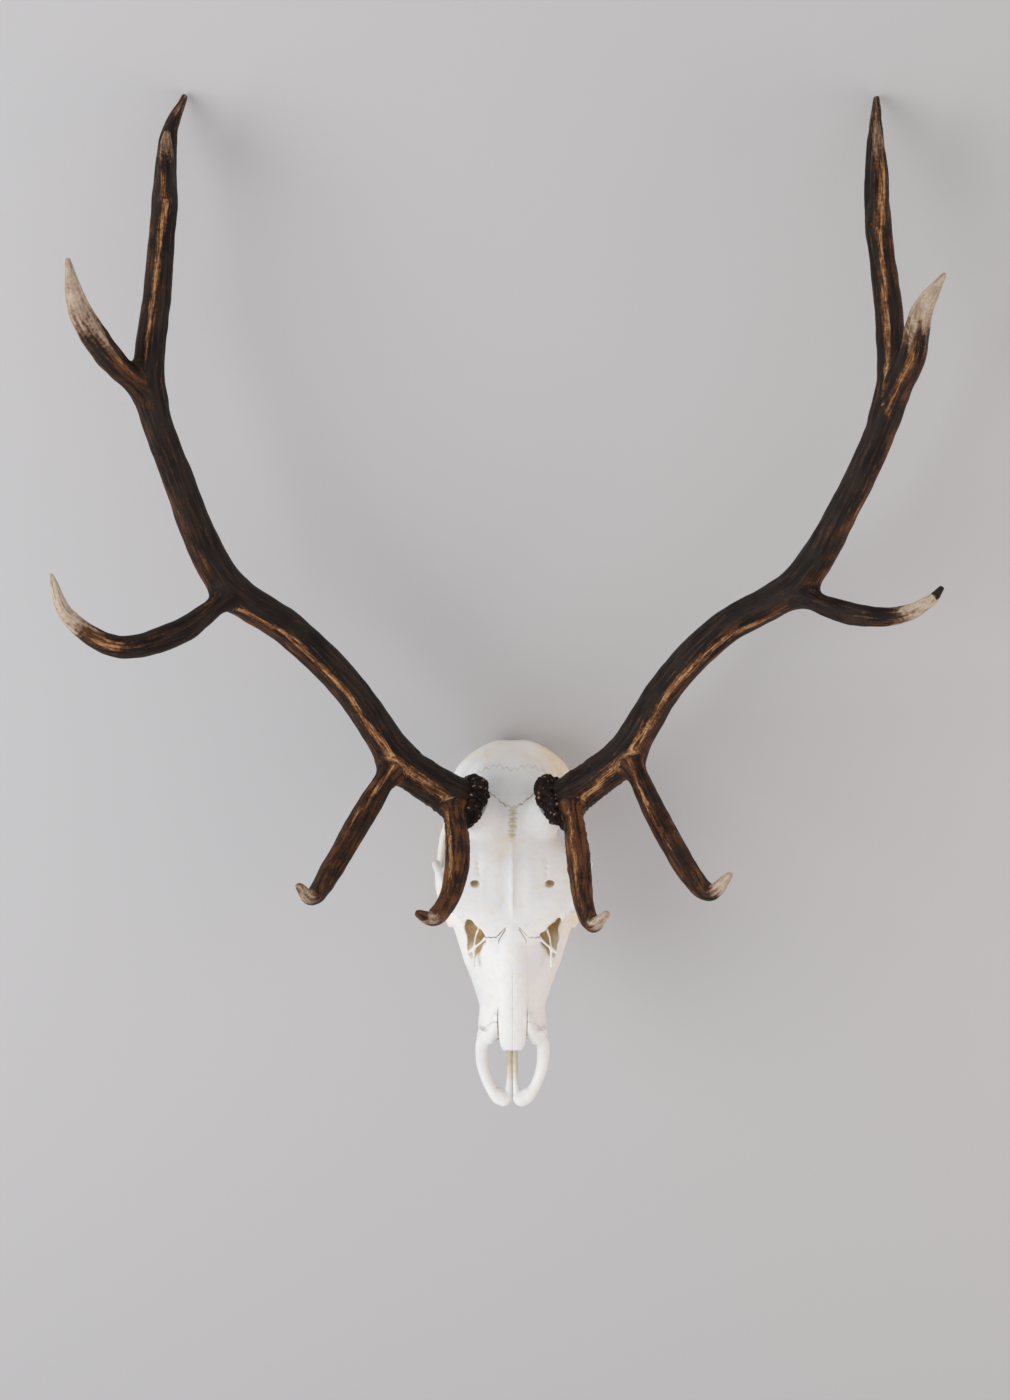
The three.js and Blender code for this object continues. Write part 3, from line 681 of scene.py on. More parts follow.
def grown_together(x, y, z):
    """How far a seam has closed, 0 to 1: beside and on the nose, on the muzzle, by the eye and by the ear.

    Each part has its own range of millimetres in the skull's frame."""
    aside = np.abs(x)
    partly = 0.3
    sides = span(y, 116, 134, 192, 206) * (aside > 8) * (aside < 26)
    bridge = np.maximum(ramp(y, 160, 176), partly) * (aside <= 8)
    muzzle = partly * ramp(-y, -116, -108) * (aside > 19)
    cheek = ramp(-y, -300, -270) * (aside > 50)
    ear = ramp(y, 362, 372) * (aside > 44) * (z < 98)
    return functools.reduce(np.maximum, (sides, bridge, muzzle, cheek, ear)) * (z > 48)


def bone_marks(points, region, buried, wave):
    """What the bone's material needs at every point: nearness to seams, stains, oil with a painted warmth of
    bounced light on the left side, and depth in a hollow for its ochre and painted shade.

    `region` is how far outside the bone's part of the skull a point is, and `buried` how deep it was in the
    skull before the hollows were cut."""
    x, y, z = points.T
    aside, roof = np.abs(x), z > 100
    brow, nape = suture_lines(points)
    coronal = hump(coronal_distance(x, y, z, wave), 1.6) * roof
    oil_and_bounce_warmth = (
        0.6 * ramp(x, 26, 58) * ramp(y, 380, 430),  # left of the nape
        0.5 * hump(x + 12, 26) * hump(y - 318, 22) * roof,  # between the brows
        0.4 * ramp(y, 418, 446),  # nape
        # painted warmth of light bounced onto the left side
        0.2 * ramp(x, 20, 60),  # left side
        0.4 * ramp(aside, 60, 84) * (z < 110),  # cheeks
    )
    # hollows: cream to ochre, partly kept oil and partly painted shade that darkens with depth
    hollow = np.clip((buried - 0.8) / 9, 0, 1) * ramp(z, 22, 36)
    # painted shade on the palate bars, deep in the nose opening
    palate_bar_shade = 0.5 * (aside < 8) * ramp(y, 20, 56) * (z < 46)
    return {
        "seam": hump(region, 1.0) * (1 - grown_together(x, y, z)),
        "stain": np.maximum.reduce([brow * 0.9, nape * 0.8, coronal * 0.8]),
        "weave": 1.15 * hump(x, 8) * span(y, 308, 332, 362, 372) * roof,
        # oil stains, with a painted warmth of bounced light on the left side
        "oil": sum(oil_and_bounce_warmth),
        "depth": np.maximum(hollow, palate_bar_shade),
    }


def make_bone(name, region_name, sizes, nodes, side=0):
    """One bone: the whole skull's distances held inside the bone's own region, then given their relief."""
    wave = sizes.wave / MM
    block, uncut, regions = skull(sizes.grain / MM, sizes.blend / MM, wave)
    x, y, z = block.axes()
    region = regions[region_name]
    if region_name in LARGE_BONES:
        for other in PAIRED_BONES:
            region = np.maximum(region, -regions[other])
    if side:
        region = np.maximum(region, -side * x)
    closed = grown_together(x, y, z)
    gap = sizes.gap / MM / 2 * (1 - closed) - OVERLAP * closed
    away = np.maximum(block.away, region + gap)
    if region_name == "upper_jaw":
        for way in SIDES.values():
            for tx, ty, length, width in tooth_places():
                beside = np.abs(x - way * tx) - width / 2 + SOCKET_ROOM
                socket = np.maximum(beside, np.abs(y - ty) - length / 2)
                away = np.maximum(away, -np.maximum(socket, z - TOOTH_ROW["height"]))
    points, quads = block.surface(away)
    marks = bone_marks(points, block.sample(region, points), -block.sample(uncut, points), wave)
    points = points + normals(points, quads) * bone_relief(points)[:, None]
    put(name, points, quads, bleached_bone(sizes), nodes, marks)


# ---------- the antlers' shapes ----------

# Each limb runs from root to tip as x, y, z and radius.
ANTLERS = {
    "right": {
        "beam": [
            [-57, 367, 172, 25], [-108, 392, 202, 24.5], [-143, 419, 222, 22.5], [-195, 490, 268, 20.5],
            [-262, 549, 322, 20.5], [-336, 596, 384, 20.5], [-380, 696, 474, 17.5], [-401, 775, 534, 17],
            [-388, 868, 580, 15], [-379, 960, 607, 13.5], [-376, 1030, 614, 9.5], [-362, 1084, 604, 3.5],
        ],
        "brow": [
            [-74, 368, 192, 18], [-66, 301, 232, 15], [-72, 245, 283, 12.5], [-90, 210, 330, 10],
            [-107, 211, 364, 4.5],
        ],
        "bez": [
            [-138, 416, 221, 18], [-173, 347, 262, 14.5], [-206, 274, 312, 13], [-226, 231, 356, 10],
            [-240, 238, 393, 4],
        ],
        "trez": [
            [-327, 577, 380, 18], [-380, 524, 416, 14], [-438, 497, 459, 12.5], [-484, 518, 505, 9],
            [-500, 559, 532, 3],
        ],
        "royal": [
            [-399, 761, 519, 16.5], [-438, 790, 589, 14.5], [-456, 815, 655, 12], [-455, 839, 720, 3],
        ],
        "crown": [[-379, 955, 604, 12], [-372, 985, 650, 9.5], [-363, 992, 697, 3.5]],
    },
    "left": {
        "beam": [
            [56, 367, 172, 25], [106, 397, 201, 24], [141, 428, 223, 22], [188, 497, 276, 20],
            [248, 550, 328, 20], [327, 589, 385, 20.5], [374, 660, 455, 17.5], [412, 749, 525, 17],
            [411, 830, 567, 15.5], [395, 937, 605, 13.5], [394, 1016, 613, 10], [399, 1082, 604, 3.5],
        ],
        "brow": [
            [71, 368, 192, 18], [78, 296, 234, 14], [82, 234, 287, 12], [91, 203, 325, 9.5],
            [105, 210, 366, 4],
        ],
        "bez": [
            [139, 422, 222, 18], [167, 346, 267, 14], [199, 268, 322, 13], [222, 236, 356, 10],
            [241, 250, 398, 4],
        ],
        "trez": [
            [323, 580, 381, 18], [378, 544, 427, 12.5], [424, 529, 472, 10], [452, 536, 503, 7],
            [464, 547, 523, 3.5],
        ],
        "royal": [[411, 744, 516, 16.5], [428, 783, 583, 15], [428, 812, 650, 11.5], [440, 828, 709, 3]],
        "crown": [[396, 922, 600, 12], [390, 962, 649, 10], [376, 995, 716, 3]],
    },
}
ACROSS = {"beam": Z, "brow": X, "bez": X, "trez": Z, "royal": Y, "crown": X}
ROUND_TIP = (0.0, 0.8)
ANTLER_ROOM = 30  # round the limbs' middle lines
# The polished ridges, paler with a painted highlight along their middle: station along the limb, degrees
# round it from the front towards the middle of the animal for a beam, half-width in mm, and strength.
STREAKS = {
    "right": {
        "beam": [
            [
                (0.1, -20, 4, 0.5), (0.5, -8, 6, 0.9), (1.2, 0, 6, 1), (2, -8, 6, 1), (3, -17, 4, 1),
                (4, -17, 4, 0.95), (4.7, -30, 3.5, 0.9), (5.2, -60, 3, 0),
            ],
            [
                (5.2, -50, 4, 0), (5.6, -35, 4, 0.6), (6.2, -25, 4, 0), (7.1, 0, 2, 0),
                (7.5, -4, 3.4, 0.9), (8.4, 0, 3.4, 1), (8.9, 12, 4.5, 1), (9.3, 10, 6, 0.6),
                (9.7, 0, 4, 0),
            ],
        ],
        "brow": [[(0.2, 28, 5, 1), (1, 34, 4, 1), (2, 34, 3, 0.8), (2.8, 20, 4, 0)]],
        "bez": [[(0.0, -5, 4, 0.7), (0.6, 0, 4.5, 1), (1.2, 24, 3.4, 0.8), (2.1, 35, 3, 0.1)]],
        "trez": [
            [
                (0.0, 40, 3, 0.6), (0.8, 30, 2.5, 0.1), (1.6, 0, 4, 0.2), (2.1, 0, 7, 1),
                (2.8, 0, 8, 0.8), (3.1, 0, 7, 0),
            ],
        ],
        "royal": [[(0.3, 24, 3, 0.3), (0.9, 26, 4, 0.9), (1.7, 24, 4, 0.9), (2.3, 22, 4, 0)]],
        "crown": [[(0.0, 0, 6, 0.7), (0.7, 0, 6, 0.6), (1.2, 0, 4, 0)]],
    },
    "left": {
        "beam": [
            [
                (0.1, -30, 4, 0.5), (0.6, -22, 6, 1), (1.3, -8, 6, 1), (2, -10, 6.5, 1), (3, -18, 5, 1),
                (4, -28, 4, 1), (4.7, -48, 3, 0.7), (5.2, -70, 3, 0),
            ],
            [
                (5.3, -65, 6, 0), (5.8, -55, 6, 0.6), (6.4, -45, 6, 0.5), (6.9, -30, 4, 0),
                (7.1, 30, 2.5, 0.8), (7.6, 27, 3, 1), (8.5, 17, 3.6, 1), (8.9, 12, 5, 0.8),
                (9.3, 0, 5, 0),
            ],
        ],
        "brow": [[(0.2, -28, 5, 0.9), (1, -18, 5, 0.9), (2, -30, 4, 0.8), (2.8, -10, 4, 0.2)]],
        "bez": [[(0.0, -10, 4, 0.8), (0.7, -22, 4, 1), (1.4, -26, 3, 0.7), (2.2, -20, 3, 0.1)]],
        "trez": [
            [(0.3, 40, 3, 0.3), (1.0, 30, 3, 0), (1.8, 0, 6, 0.3), (2.2, 0, 8, 0.6), (2.6, 0, 6, 0)],
        ],
        "royal": [[(0.3, 10, 4, 0.7), (1.0, 20, 4, 0.9), (1.6, 12, 5, 0.7), (2.2, 0, 5, 0)]],
        "crown": [[(0.1, 0, 6, 0.8), (0.9, 0, 6, 1), (1.6, 0, 5, 0.7), (1.9, 0, 4, 0)]],
    },
}
# How far the pale end of each limb reaches back from its tip, and how pale it is.
TIPS = {
    "right": {
        "beam": (70, 0.4), "brow": (46, 0.6), "bez": (50, 0.6),
        "trez": (112, 1), "royal": (160, 0.8), "crown": (64, 0.47),
    },
    "left": {
        "beam": (70, 0.4), "brow": (52, 0.8), "bez": (54, 0.85),
        "trez": (88, 0.95), "royal": (140, 0.8), "crown": (70, 0.45),
    },
}
BROKEN_ENDS = {"right": ("brow",), "left": ("trez",)}
WARMTH = {"brow": 1.15, "bez": 0.9, "trez": 0.5, "royal": 0.8, "crown": 0.6}
ROOT_SHARE = 0.55  # a tine's radius at its root, deep inside the beam, so that the fork doesn't swell
# How wide the rounded crease at each fork is, as a share of the widest.
CREASE = {"beam": 0, "brow": 1, "bez": 1, "trez": 0.8, "royal": 0.65, "crown": 0.5}
FIBRE_STRETCH = 11  # how much longer than wide the grain of an antler is
LIMB_STEPS = 260  # places along a limb's middle line that points are measured from
# An antler's unevenness: the size and seed of each noise, and how high in mm the marks stand out.
UNEVEN = {"speck": (3.0, 60), "patch": (13.0, 61), "broad": (4.6, 20), "thin": (2.3, 40), "lump": (4.4, 80)}
STANDS_OUT = {"ridge": 0.6, "lump": 1.5, "patch": 0.6}
ROUGH_BASE = ("beam", "brow")  # these are pearled near the burr
# The burr: a cushion with pearls scattered over it, some of them worn, and two sizes of unevenness.
BURR = {
    "radius": 34, "thickness": 21, "rings": 84, "sides": 300, "pearls": 480, "pearl": 3.7, "height": 4.3,
    "seed": 90, "rough": ((2.2, 8.0, 95), (0.5, 2.2, 96)),
}
WORN_PEARLS = {"right": 0.08, "left": 0.26}
WORN_PALENESS = 0.52


def limb_places(points, stations):
    """Where points lie on a limb.

    Gives the mm from its root and from its tip, the angle round it, its radius there, the distance over that
    radius, and the station."""
    t = np.linspace(0, 1, LIMB_STEPS)
    at, slope = course(stations, t)
    centre, radius, forward = at[:, :3], at[:, 3], unit(slope[:, :3])
    lengths = np.concatenate([[0], np.cumsum(np.linalg.norm(np.diff(centre, axis=0), axis=1))])
    squares = (points**2).sum(1)[:, None] - 2 * points @ centre.T + (centre**2).sum(1)[None]
    i = squares.argmin(1)
    arm = points - centre[i]
    place = lengths[i] + (arm * forward[i]).sum(1)
    front = unit(FRONT - forward * (forward @ FRONT)[:, None])
    inner = np.cross(forward, front)
    angle = np.arctan2((arm * inner[i]).sum(1), (arm * front[i]).sum(1))
    radius = np.interp(place, lengths, radius)
    away = np.linalg.norm(arm, axis=1) / radius
    return place, lengths[-1] - place, angle, radius, away, t[i] * (len(stations) - 1)


def streak_strength(tracks, station, angle, radius, rough):
    """How strongly the polished ridges and their painted highlight show: a bell across each track, its edge
    broken up by the grain.
    """
    total = np.zeros(len(station))
    for track in tracks:
        where, turn, width, strength = np.array(track, float).T
        turn = np.radians(np.interp(station, where, turn))
        off = np.angle(np.exp(1j * (angle - turn))) * radius
        wide = np.interp(station, where, width) * (1.15 + 0.5 * rough)
        total = np.maximum(total, np.interp(station, where, strength) * hump(off, wide))
    return np.clip(total, 0, 1)


def uneven(name, points, side=0):
    """One of an antler's noises. With a side, each antler has its own."""
    size, seed = UNEVEN[name]
    return noise(points, size, seed + side)


def limb_marks(name, part, points, speck, patch):
    """How much of one limb every point is, and the limb's marks there.

    The marks are broad and thin grain, streak, tip, warmth, pearls and the three coordinates of the fibres.
    The weight is exp(-11·(distance/radius - 1)), and a tine grows into it over its first 42 mm."""
    side, limb, beam = SIDES[name], ANTLERS[name][part], ANTLERS[name]["beam"]
    place, left, angle, radius, away, station = limb_places(points, limb)
    fork = limb_places(np.array([limb[0][:3]], float), beam)[0][0]
    angle = angle * -side
    along = (place + fork) / FIBRE_STRETCH
    fibre = np.column_stack([radius * np.cos(angle), radius * np.sin(angle), along])
    broad, thin = uneven("broad", fibre, side), uneven("thin", fibre, side)
    reach, paleness = TIPS[name][part]
    tip = paleness * ramp(-left + reach * (0.15 * broad + 0.08 * speck), -reach, -reach * 0.3)
    if part in BROKEN_ENDS[name]:
        tip = tip * ramp(left + 3 * speck, 8, 15)
    streak = streak_strength(STREAKS[name][part], station, angle, radius, 0.6 * thin + 0.5 * speck)
    if part == "beam":
        warm, grown = 0.5 - 0.5 * np.sin(angle), 1
    else:
        warm, grown = WARMTH[part], 0.01 + 0.99 * ramp(place, 2, 42)
        streak = streak * ramp(place / limb[0][3], 0.7, 1.6)
    pearl = ramp(-place, -170, -20) * (part in ROUGH_BASE)
    weight = grown * np.exp(-11 * np.minimum(away - 1, 4))
    return weight, np.column_stack([broad, thin, streak, tip, warm + 0.35 * patch, pearl, fibre])


def antler(name, side, sizes):
    """One whole antler: its limbs' distances joined with a rounded crease at each fork, then grooved.

    The marks of the limbs are mixed by their weights, and the grooves follow the grain."""
    limbs = ANTLERS[name]
    grain, blend = sizes.grain / MM, sizes.blend / MM
    centres = np.vstack([np.array(limb) for limb in limbs.values()])[:, :3]
    block = Block(centres.min(0) - ANTLER_ROOM, centres.max(0) + ANTLER_ROOM, grain, blend + 2)
    for part, limb in limbs.items():
        root = limb[0] if part == "beam" else [*limb[0][:3], limb[0][3] * ROOT_SHARE]
        shape = bar([root, *limb[1:]], across=ACROSS[part], ends=ROUND_TIP, rings=16)
        block.join(shape, blend * CREASE[part])
    points, quads = block.surface(block.away)
    out = normals(points, quads)
    speck, patch = uneven("speck", points), uneven("patch", points, side)
    weights, marks = zip(*[limb_marks(name, part, points, speck, patch) for part in limbs])
    weights, marks = np.array(weights) / np.sum(weights, axis=0), np.array(marks)
    shown = np.vstack([ramp(weights[:1], 0.0, 0.25), ramp(weights[1:], 0.3, 0.75)])
    ridges = (marks[:, :, 2] * shown).max(0)
    marks = np.einsum("ij,ijk->jk", weights, marks)
    broad, thin, _, tip, warm, pearl = marks[:, :6].T
    smooth = 1 - 0.75 * np.maximum(tip, 0.6 * ridges)
    lumps = np.maximum(uneven("lump", points, side), 0) * pearl
    height = (sizes.groove / MM) * (broad + 0.6 * thin) * smooth
    height = height + STANDS_OUT["ridge"] * ridges + STANDS_OUT["lump"] * lumps * smooth
    points = points + out * (height + STANDS_OUT["patch"] * patch)[:, None]
    fibre = marks[:, 6:] * MM
    values = {"broad": broad, "streak": ridges, "tip": tip, "warm": warm, "pearl": lumps, "fibre": fibre}
    mine = [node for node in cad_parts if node.startswith(f"antler_{name}_")]
    nodes = [node for node in mine if not node.endswith("_burr")]
    put("antler_" + name + "_whole", points, quads, dark_antler(sizes), nodes, values)


def cushion(p):
    """The burr's radius and height at an angle p: radius·sin(p)^0.45 and -thickness/2·cos(p)^0.7."""
    height = -BURR["thickness"] / 2 * np.sign(np.cos(p)) * np.abs(np.cos(p)) ** 0.7
    return BURR["radius"] * np.sin(p) ** 0.45, height


def burr(name, side, sizes):
    """The rough ring round an antler's foot: a flat cushion with a round pearl on each scattered point.

    A pearl adds height·sqrt(1 - (distance/pearl)²), and where pearls meet the higher one shows."""
    at, slope = course(ANTLERS[name]["beam"], np.zeros(1))
    axis = unit(slope[0, :3])
    sideways = unit(np.cross(axis, Z))
    own_axes = np.array([sideways, np.cross(axis, sideways), axis])
    p = np.linspace(0, math.pi, BURR["rings"])[:, None]
    a = np.linspace(0, 2 * math.pi, BURR["sides"], endpoint=False)[None]
    ring, height = cushion(p)
    ring = ring * (1 + 0.05 * np.sin(2 * a + 1) + 0.03 * np.sin(5 * a + side))
    flat, quads = skin(np.stack([ring * np.cos(a), ring * np.sin(a), height + 0 * a], -1))
    random, count = np.random.default_rng(BURR["seed"] + side), BURR["pearls"]
    pearl_a = random.uniform(0, 2 * math.pi, count)
    ring, height = cushion(np.arccos(random.uniform(-0.999, 0.999, count)))
    pearls = np.column_stack([ring * np.cos(pearl_a), ring * np.sin(pearl_a), height])
    squares = (flat**2).sum(1)[:, None] - 2 * flat @ pearls.T + (pearls**2).sum(1)[None]
    radii = random.uniform(0.7, 1.2, count) * BURR["pearl"]
    lifts = np.sqrt(np.maximum(1 - np.maximum(squares, 0) / radii**2, 0))
    lift = lifts.max(1)
    worn = (random.uniform(0, 1, count) < WORN_PEARLS[name])[lifts.argmax(1)] * ramp(lift, 0.8, 0.98)
    rough = sum(height * noise(flat, size, seed) for height, size, seed in BURR["rough"])
    flat = flat + normals(flat, quads) * (BURR["height"] * lift + rough)[:, None]
    points = flat @ own_axes + at[0, :3]
    zero = np.zeros(len(points))
    values = {"broad": lift * 2 - 1, "streak": zero, "tip": WORN_PALENESS * worn, "warm": zero + 0.4,
              "pearl": zero + 1, "fibre": flat * MM}
    quads = outward(points, quads)
    nodes = [f"antler_{name}_burr"]
    put("antler_" + name + "_burr_ring", points, quads, dark_antler(sizes), nodes, values)


def boxy(a):
    """A ring between round and square: cos and sin of a, each to the power 0.6 with its own sign."""
    return [np.sign(wave) * np.abs(wave) ** 0.6 for wave in (np.cos(a), np.sin(a))]


def tooth(side, x, y, length, width, lobes):
    """One cheek tooth as points, quads and stain: a boxy ring carried down its wall and closed by its crown.

    The wall has ribs. The crown's height follows cos of the place across the tooth."""
    form = TOOTH_FORM
    v = np.linspace(0, 1, form["rings"])[:, None]
    across, along = boxy(np.linspace(0, 2 * math.pi, form["sides"], endpoint=False)[None])
    crown = np.clip((v - 0.5) / 0.5, 0, 1)
    wall = np.clip(v / 0.5, 0, 1)
    root = np.where(v < 0.04, v / 0.04, 1)
    belly = 1 - form["taper"] + form["taper"] * np.sin(wall * 2.2)
    spread = root * np.cos(crown * math.pi / 2) ** 0.75 * belly
    rib = form["rib"] * np.cos(2 * math.pi * along * lobes) * np.abs(across)
    px = spread * (width / 2 - form["inset"]) * (across + rib * np.sign(across))
    py = spread * (length / 2 - form["gap"]) * along
    crest = np.cos(2 * math.pi * px / width * 1.9) * np.cos(math.pi * py / length * lobes) ** 2
    z = (TOOTH_ROW["height"] - form["sunk"]) * (1 - wall) + form["crown"]
    z = np.maximum(z - form["crest"] * crown**0.3 * crest * (crown > 0), form["lowest"])
    points, quads = skin(np.stack([side * (x + px), y + py, z], -1))
    stain = crown * (0.5 - 0.5 * crest) + 0.35 * (1 - wall)
    return points, outward(points, quads.astype(np.int64)), stain.ravel()


def teeth(name, side, sizes):
    """A row of cheek teeth. The first three have one lobe, the others two."""
    parts, faces, stains, start = [], [], [], 0
    for i, (x, y, length, width) in enumerate(tooth_places()):
        points, quads, stain = tooth(side, x, y, length, width, 1 if i < 3 else 2)
        parts.append(points)
        faces.append(quads + start)
        stains.append(stain)
        start += len(points)
    values = {"stain": np.hstack(stains)}
    nodes = [f"cheek_teeth_{name}"]
    put("teeth_" + name, np.vstack(parts), np.vstack(faces), worn_enamel(sizes), nodes, values)


# ---------- materials ----------

def add(tree, kind, inputs=None, **settings):
    """Adds a node with its settings, and for each input either links an output or sets its value."""
    node = tree.nodes.new(kind)
    for key, value in settings.items():
        setattr(node, key, value)
    for key, value in (inputs or {}).items():
        if isinstance(value, bpy.types.NodeSocket):
            tree.links.new(value, node.inputs[key])
        else:
            node.inputs[key].default_value = value
    return node


def started(name):
    """A material of that name and its node tree, or None for the tree where the material is already made."""
    if name in bpy.data.materials:
        return bpy.data.materials[name], None
    material = bpy.data.materials.new(name)
    material.use_nodes = True
    material.node_tree.nodes.clear()
    return material, material.node_tree


def patterns(tree, names, clouds, mixes):
    """The patterns that a material is made from, by name: the piece's own attributes, clouds, and mixes.

    A cloud has a place, the size of its features in millimetres, and its detail. A mix is one pattern times
    another pattern or number, and a third is added to that."""
    found = {name: add(tree, "ShaderNodeAttribute", attribute_name=name).outputs["Fac"] for name in names}
    for name, (place, size, detail) in clouds.items():
        inputs = {"Vector": place, "Scale": 1 / (size * MM), "Detail": detail}
        found[name] = add(tree, "ShaderNodeTexNoise", inputs).outputs["Fac"]
    for name, mix in mixes.items():
        inputs = {i: found.get(one, one) for i, one in enumerate(mix)}
        operation = "MULTIPLY" if len(mix) == 2 else "MULTIPLY_ADD"
        found[name] = add(tree, "ShaderNodeMath", inputs, operation=operation).outputs[0]
    return found


def layered(tree, base, found, layers):
    """A colour with others laid over it in turn, each where its pattern goes from `low` to `high`."""
    colour = tuple(base)
    for name, low, high, over in layers:
        inputs = {"Value": found[name], "From Min": low, "From Max": high}
        share = add(tree, "ShaderNodeMapRange", inputs).outputs[0]
        over = linear(over) if isinstance(over, str) else tuple(over)
        colour = add(tree, "ShaderNodeMix", {0: share, 6: colour, 7: over}, data_type="RGBA").outputs[2]
    return colour


def bleached_bone(colours):
    """Bleached cortical bone: dry and matt with fine pores.

    It is white, and cream where seams kept their oil, with a faint painted warmth of bounced light on the
    left side. Hollows are cream to ochre, partly kept oil and partly painted shade that darkens deeper in."""
    material, tree = started("bleached_bone")
    if tree is None:
        return material
    place = add(tree, "ShaderNodeTexCoord").outputs["Object"]
    stretch = (0.22, 1.0, 1.0)  # the stripes lie across the skull
    drawn_out = add(tree, "ShaderNodeVectorMath", {0: place, 1: stretch}, operation="MULTIPLY").outputs[0]
    found = patterns(tree, ("seam", "stain", "weave", "oil", "depth"), {
        "cloud": (place, 55, 3.0),
        "mottle": (place, 9, 5.0),
        "pores": (place, 1.6, 2.0),  # coarser than real pores, which wouldn't show
        "stripes": (drawn_out, 3.2, 2.0),  # the knitting of the seam between the brows
    }, {
        "stained": ("stain", "mottle"),
        "woven": ("weave", "stripes"),
        "oiled_and_bounce_warm": ("oil", "mottle"),
        "sunk": ("mottle", 0.5, "depth"),
    })
    colour = layered(tree, colours.white, found, [
        ("cloud", 0.45, 0.75, colours.cool),
        ("mottle", 0.52, 0.9, colours.cream),
        # oil stains, and a painted warmth of bounced light on the left side
        ("oiled_and_bounce_warm", 0.05, 0.5, "#efe0c4"),
        ("pores", 0.68, 0.82, "#d8d0c0"),
        ("stained", 0.08, 0.62, colours.stain),
        ("woven", 0.34, 0.62, colours.stain),
        ("seam", 0.4, 1.3, colours.seam),
        # cream, ochre and dark brown with depth: partly kept oil, partly painted shade; on the palate bars painted
        # shade
        ("sunk", 0.3, 0.8, "#dfd1b9"),
        ("sunk", 0.8, 1.3, colours.hollow),
        ("sunk", 1.25, 1.5, "#856738"),
    ])
    rough = add(tree, "ShaderNodeMapRange", {
        "Value": found["mottle"], "To Min": 0.46, "To Max": 0.62}).outputs[0]
    fine = add(tree, "ShaderNodeBump", {
        "Height": found["pores"], "Strength": 0.25, "Distance": 0.3 * MM}).outputs[0]
    bump = add(tree, "ShaderNodeBump", {
        "Height": found["mottle"], "Strength": 0.35, "Distance": 0.6 * MM, "Normal": fine}).outputs[0]
    shader = add(tree, "ShaderNodeBsdfPrincipled", {"Base Color": colour, "Roughness": rough, "Normal": bump})
    add(tree, "ShaderNodeOutputMaterial", {"Surface": shader.outputs[0]})
    return material


def dark_antler(colours):
    """Antler stained by sap and earth: near black in the grooves, tan on ridges polished by rubbing, their gold
    middle partly a painted highlight, ivory at the tips.
    """
    material, tree = started("dark_antler")
    if tree is None:
        return material
    place = add(tree, "ShaderNodeTexCoord").outputs["Object"]
    fibre = add(tree, "ShaderNodeAttribute", attribute_name="fibre").outputs["Vector"]
    found = patterns(tree, ("broad", "streak", "tip", "warm", "pearl"), {
        "cloud": (place, 38, 4.0),
        "speck": (place, 3.5, 5.0),
        "chips": (place, 2.2, 3.0),
        "patches": (fibre, 7, 5.0),
        "long": (fibre, 3.4, 6.0),  # a groove of the antler
        "fine": (fibre, 1.3, 3.0),  # the threads in a groove, coarser than real ones
    }, {
        "grain": ("broad", 0.16, "long"),
        "shade": ("cloud", 0.6, "patches"),
        "warm grain": ("warm", "grain"),
        "warmth": ("speck", 0.4, "warm grain"),
        "ragged": ("long", 2.3, "streak"),
        "frayed": ("fine", 1.6, "ragged"),
        "rubbed_and_highlit": ("speck", 0.9, "frayed"),
        "chipped": ("chips", "streak"),
        "mixed": ("speck", 0.5, "tip"),
        "worn": ("long", 1.1, "mixed"),
        "aged": ("long", "tip"),
    })
    colour = layered(tree, colours.dark, found, [
        ("cloud", 0.42, 0.7, colours.cold),
        ("grain", 0.46, 0.75, colours.brown),
        ("warmth", 0.5, 0.8, colours.red),
        ("warmth", 0.7, 1.08, colours.tan),
        ("shade", 0.82, 0.98, colours.cold),
        ("pearl", 0.1, 1.3, "#140d0b"),
        # polished ridges: red brown edge, tan, and a gold middle that is partly a painted highlight
        ("rubbed_and_highlit", 2.65, 3.05, colours.red),
        ("rubbed_and_highlit", 2.95, 3.4, colours.tan),
        ("rubbed_and_highlit", 3.3, 3.9, colours.gold_polish_and_highlight),
        ("chipped", 0.54, 0.64, colours.red),
        ("worn", 0.95, 1.2, colours.red),
        ("worn", 1.1, 1.4, "#8c7058"),
        ("worn", 1.3, 1.8, colours.ivory),
        ("aged", 0.48, 0.62, "#8f7c66"),
    ])
    rough = add(tree, "ShaderNodeMapRange", {
        "Value": found["rubbed_and_highlit"], "From Min": 2.6, "From Max": 3.6, "To Min": 0.6, "To Max": 0.42}).outputs[0]
    furrow = add(tree, "ShaderNodeBump", {
        "Height": found["long"], "Strength": 0.6, "Distance": 1.2 * MM}).outputs[0]
    pitted = add(tree, "ShaderNodeBump", {
        "Height": found["fine"], "Strength": 0.5, "Distance": 0.5 * MM, "Normal": furrow}).outputs[0]
    shader = add(tree, "ShaderNodeBsdfPrincipled", {
        "Base Color": colour, "Roughness": rough, "Specular IOR Level": 0.14, "Normal": pitted})
    add(tree, "ShaderNodeOutputMaterial", {"Surface": shader.outputs[0]})
    return material


def worn_enamel(colours):
    """Worn tooth enamel: glossy cream with dark stained dentine between its crests."""
    material, tree = started("worn_enamel")
    if tree is None:
        return material
    place = add(tree, "ShaderNodeTexCoord").outputs["Object"]
    found = patterns(tree, ("stain",), {"speck": (place, 4, 4.0)}, {"stained": ("speck", 0.5, "stain")})
    colour = layered(tree, colours.cream, found, [
        ("stained", 0.3, 0.8, "#b8935a"),
        ("stained", 0.75, 1.25, colours.stain),
    ])
    shader = add(tree, "ShaderNodeBsdfPrincipled", {"Base Color": colour, "Roughness": 0.28})
    add(tree, "ShaderNodeOutputMaterial", {"Surface": shader.outputs[0]})
    return material


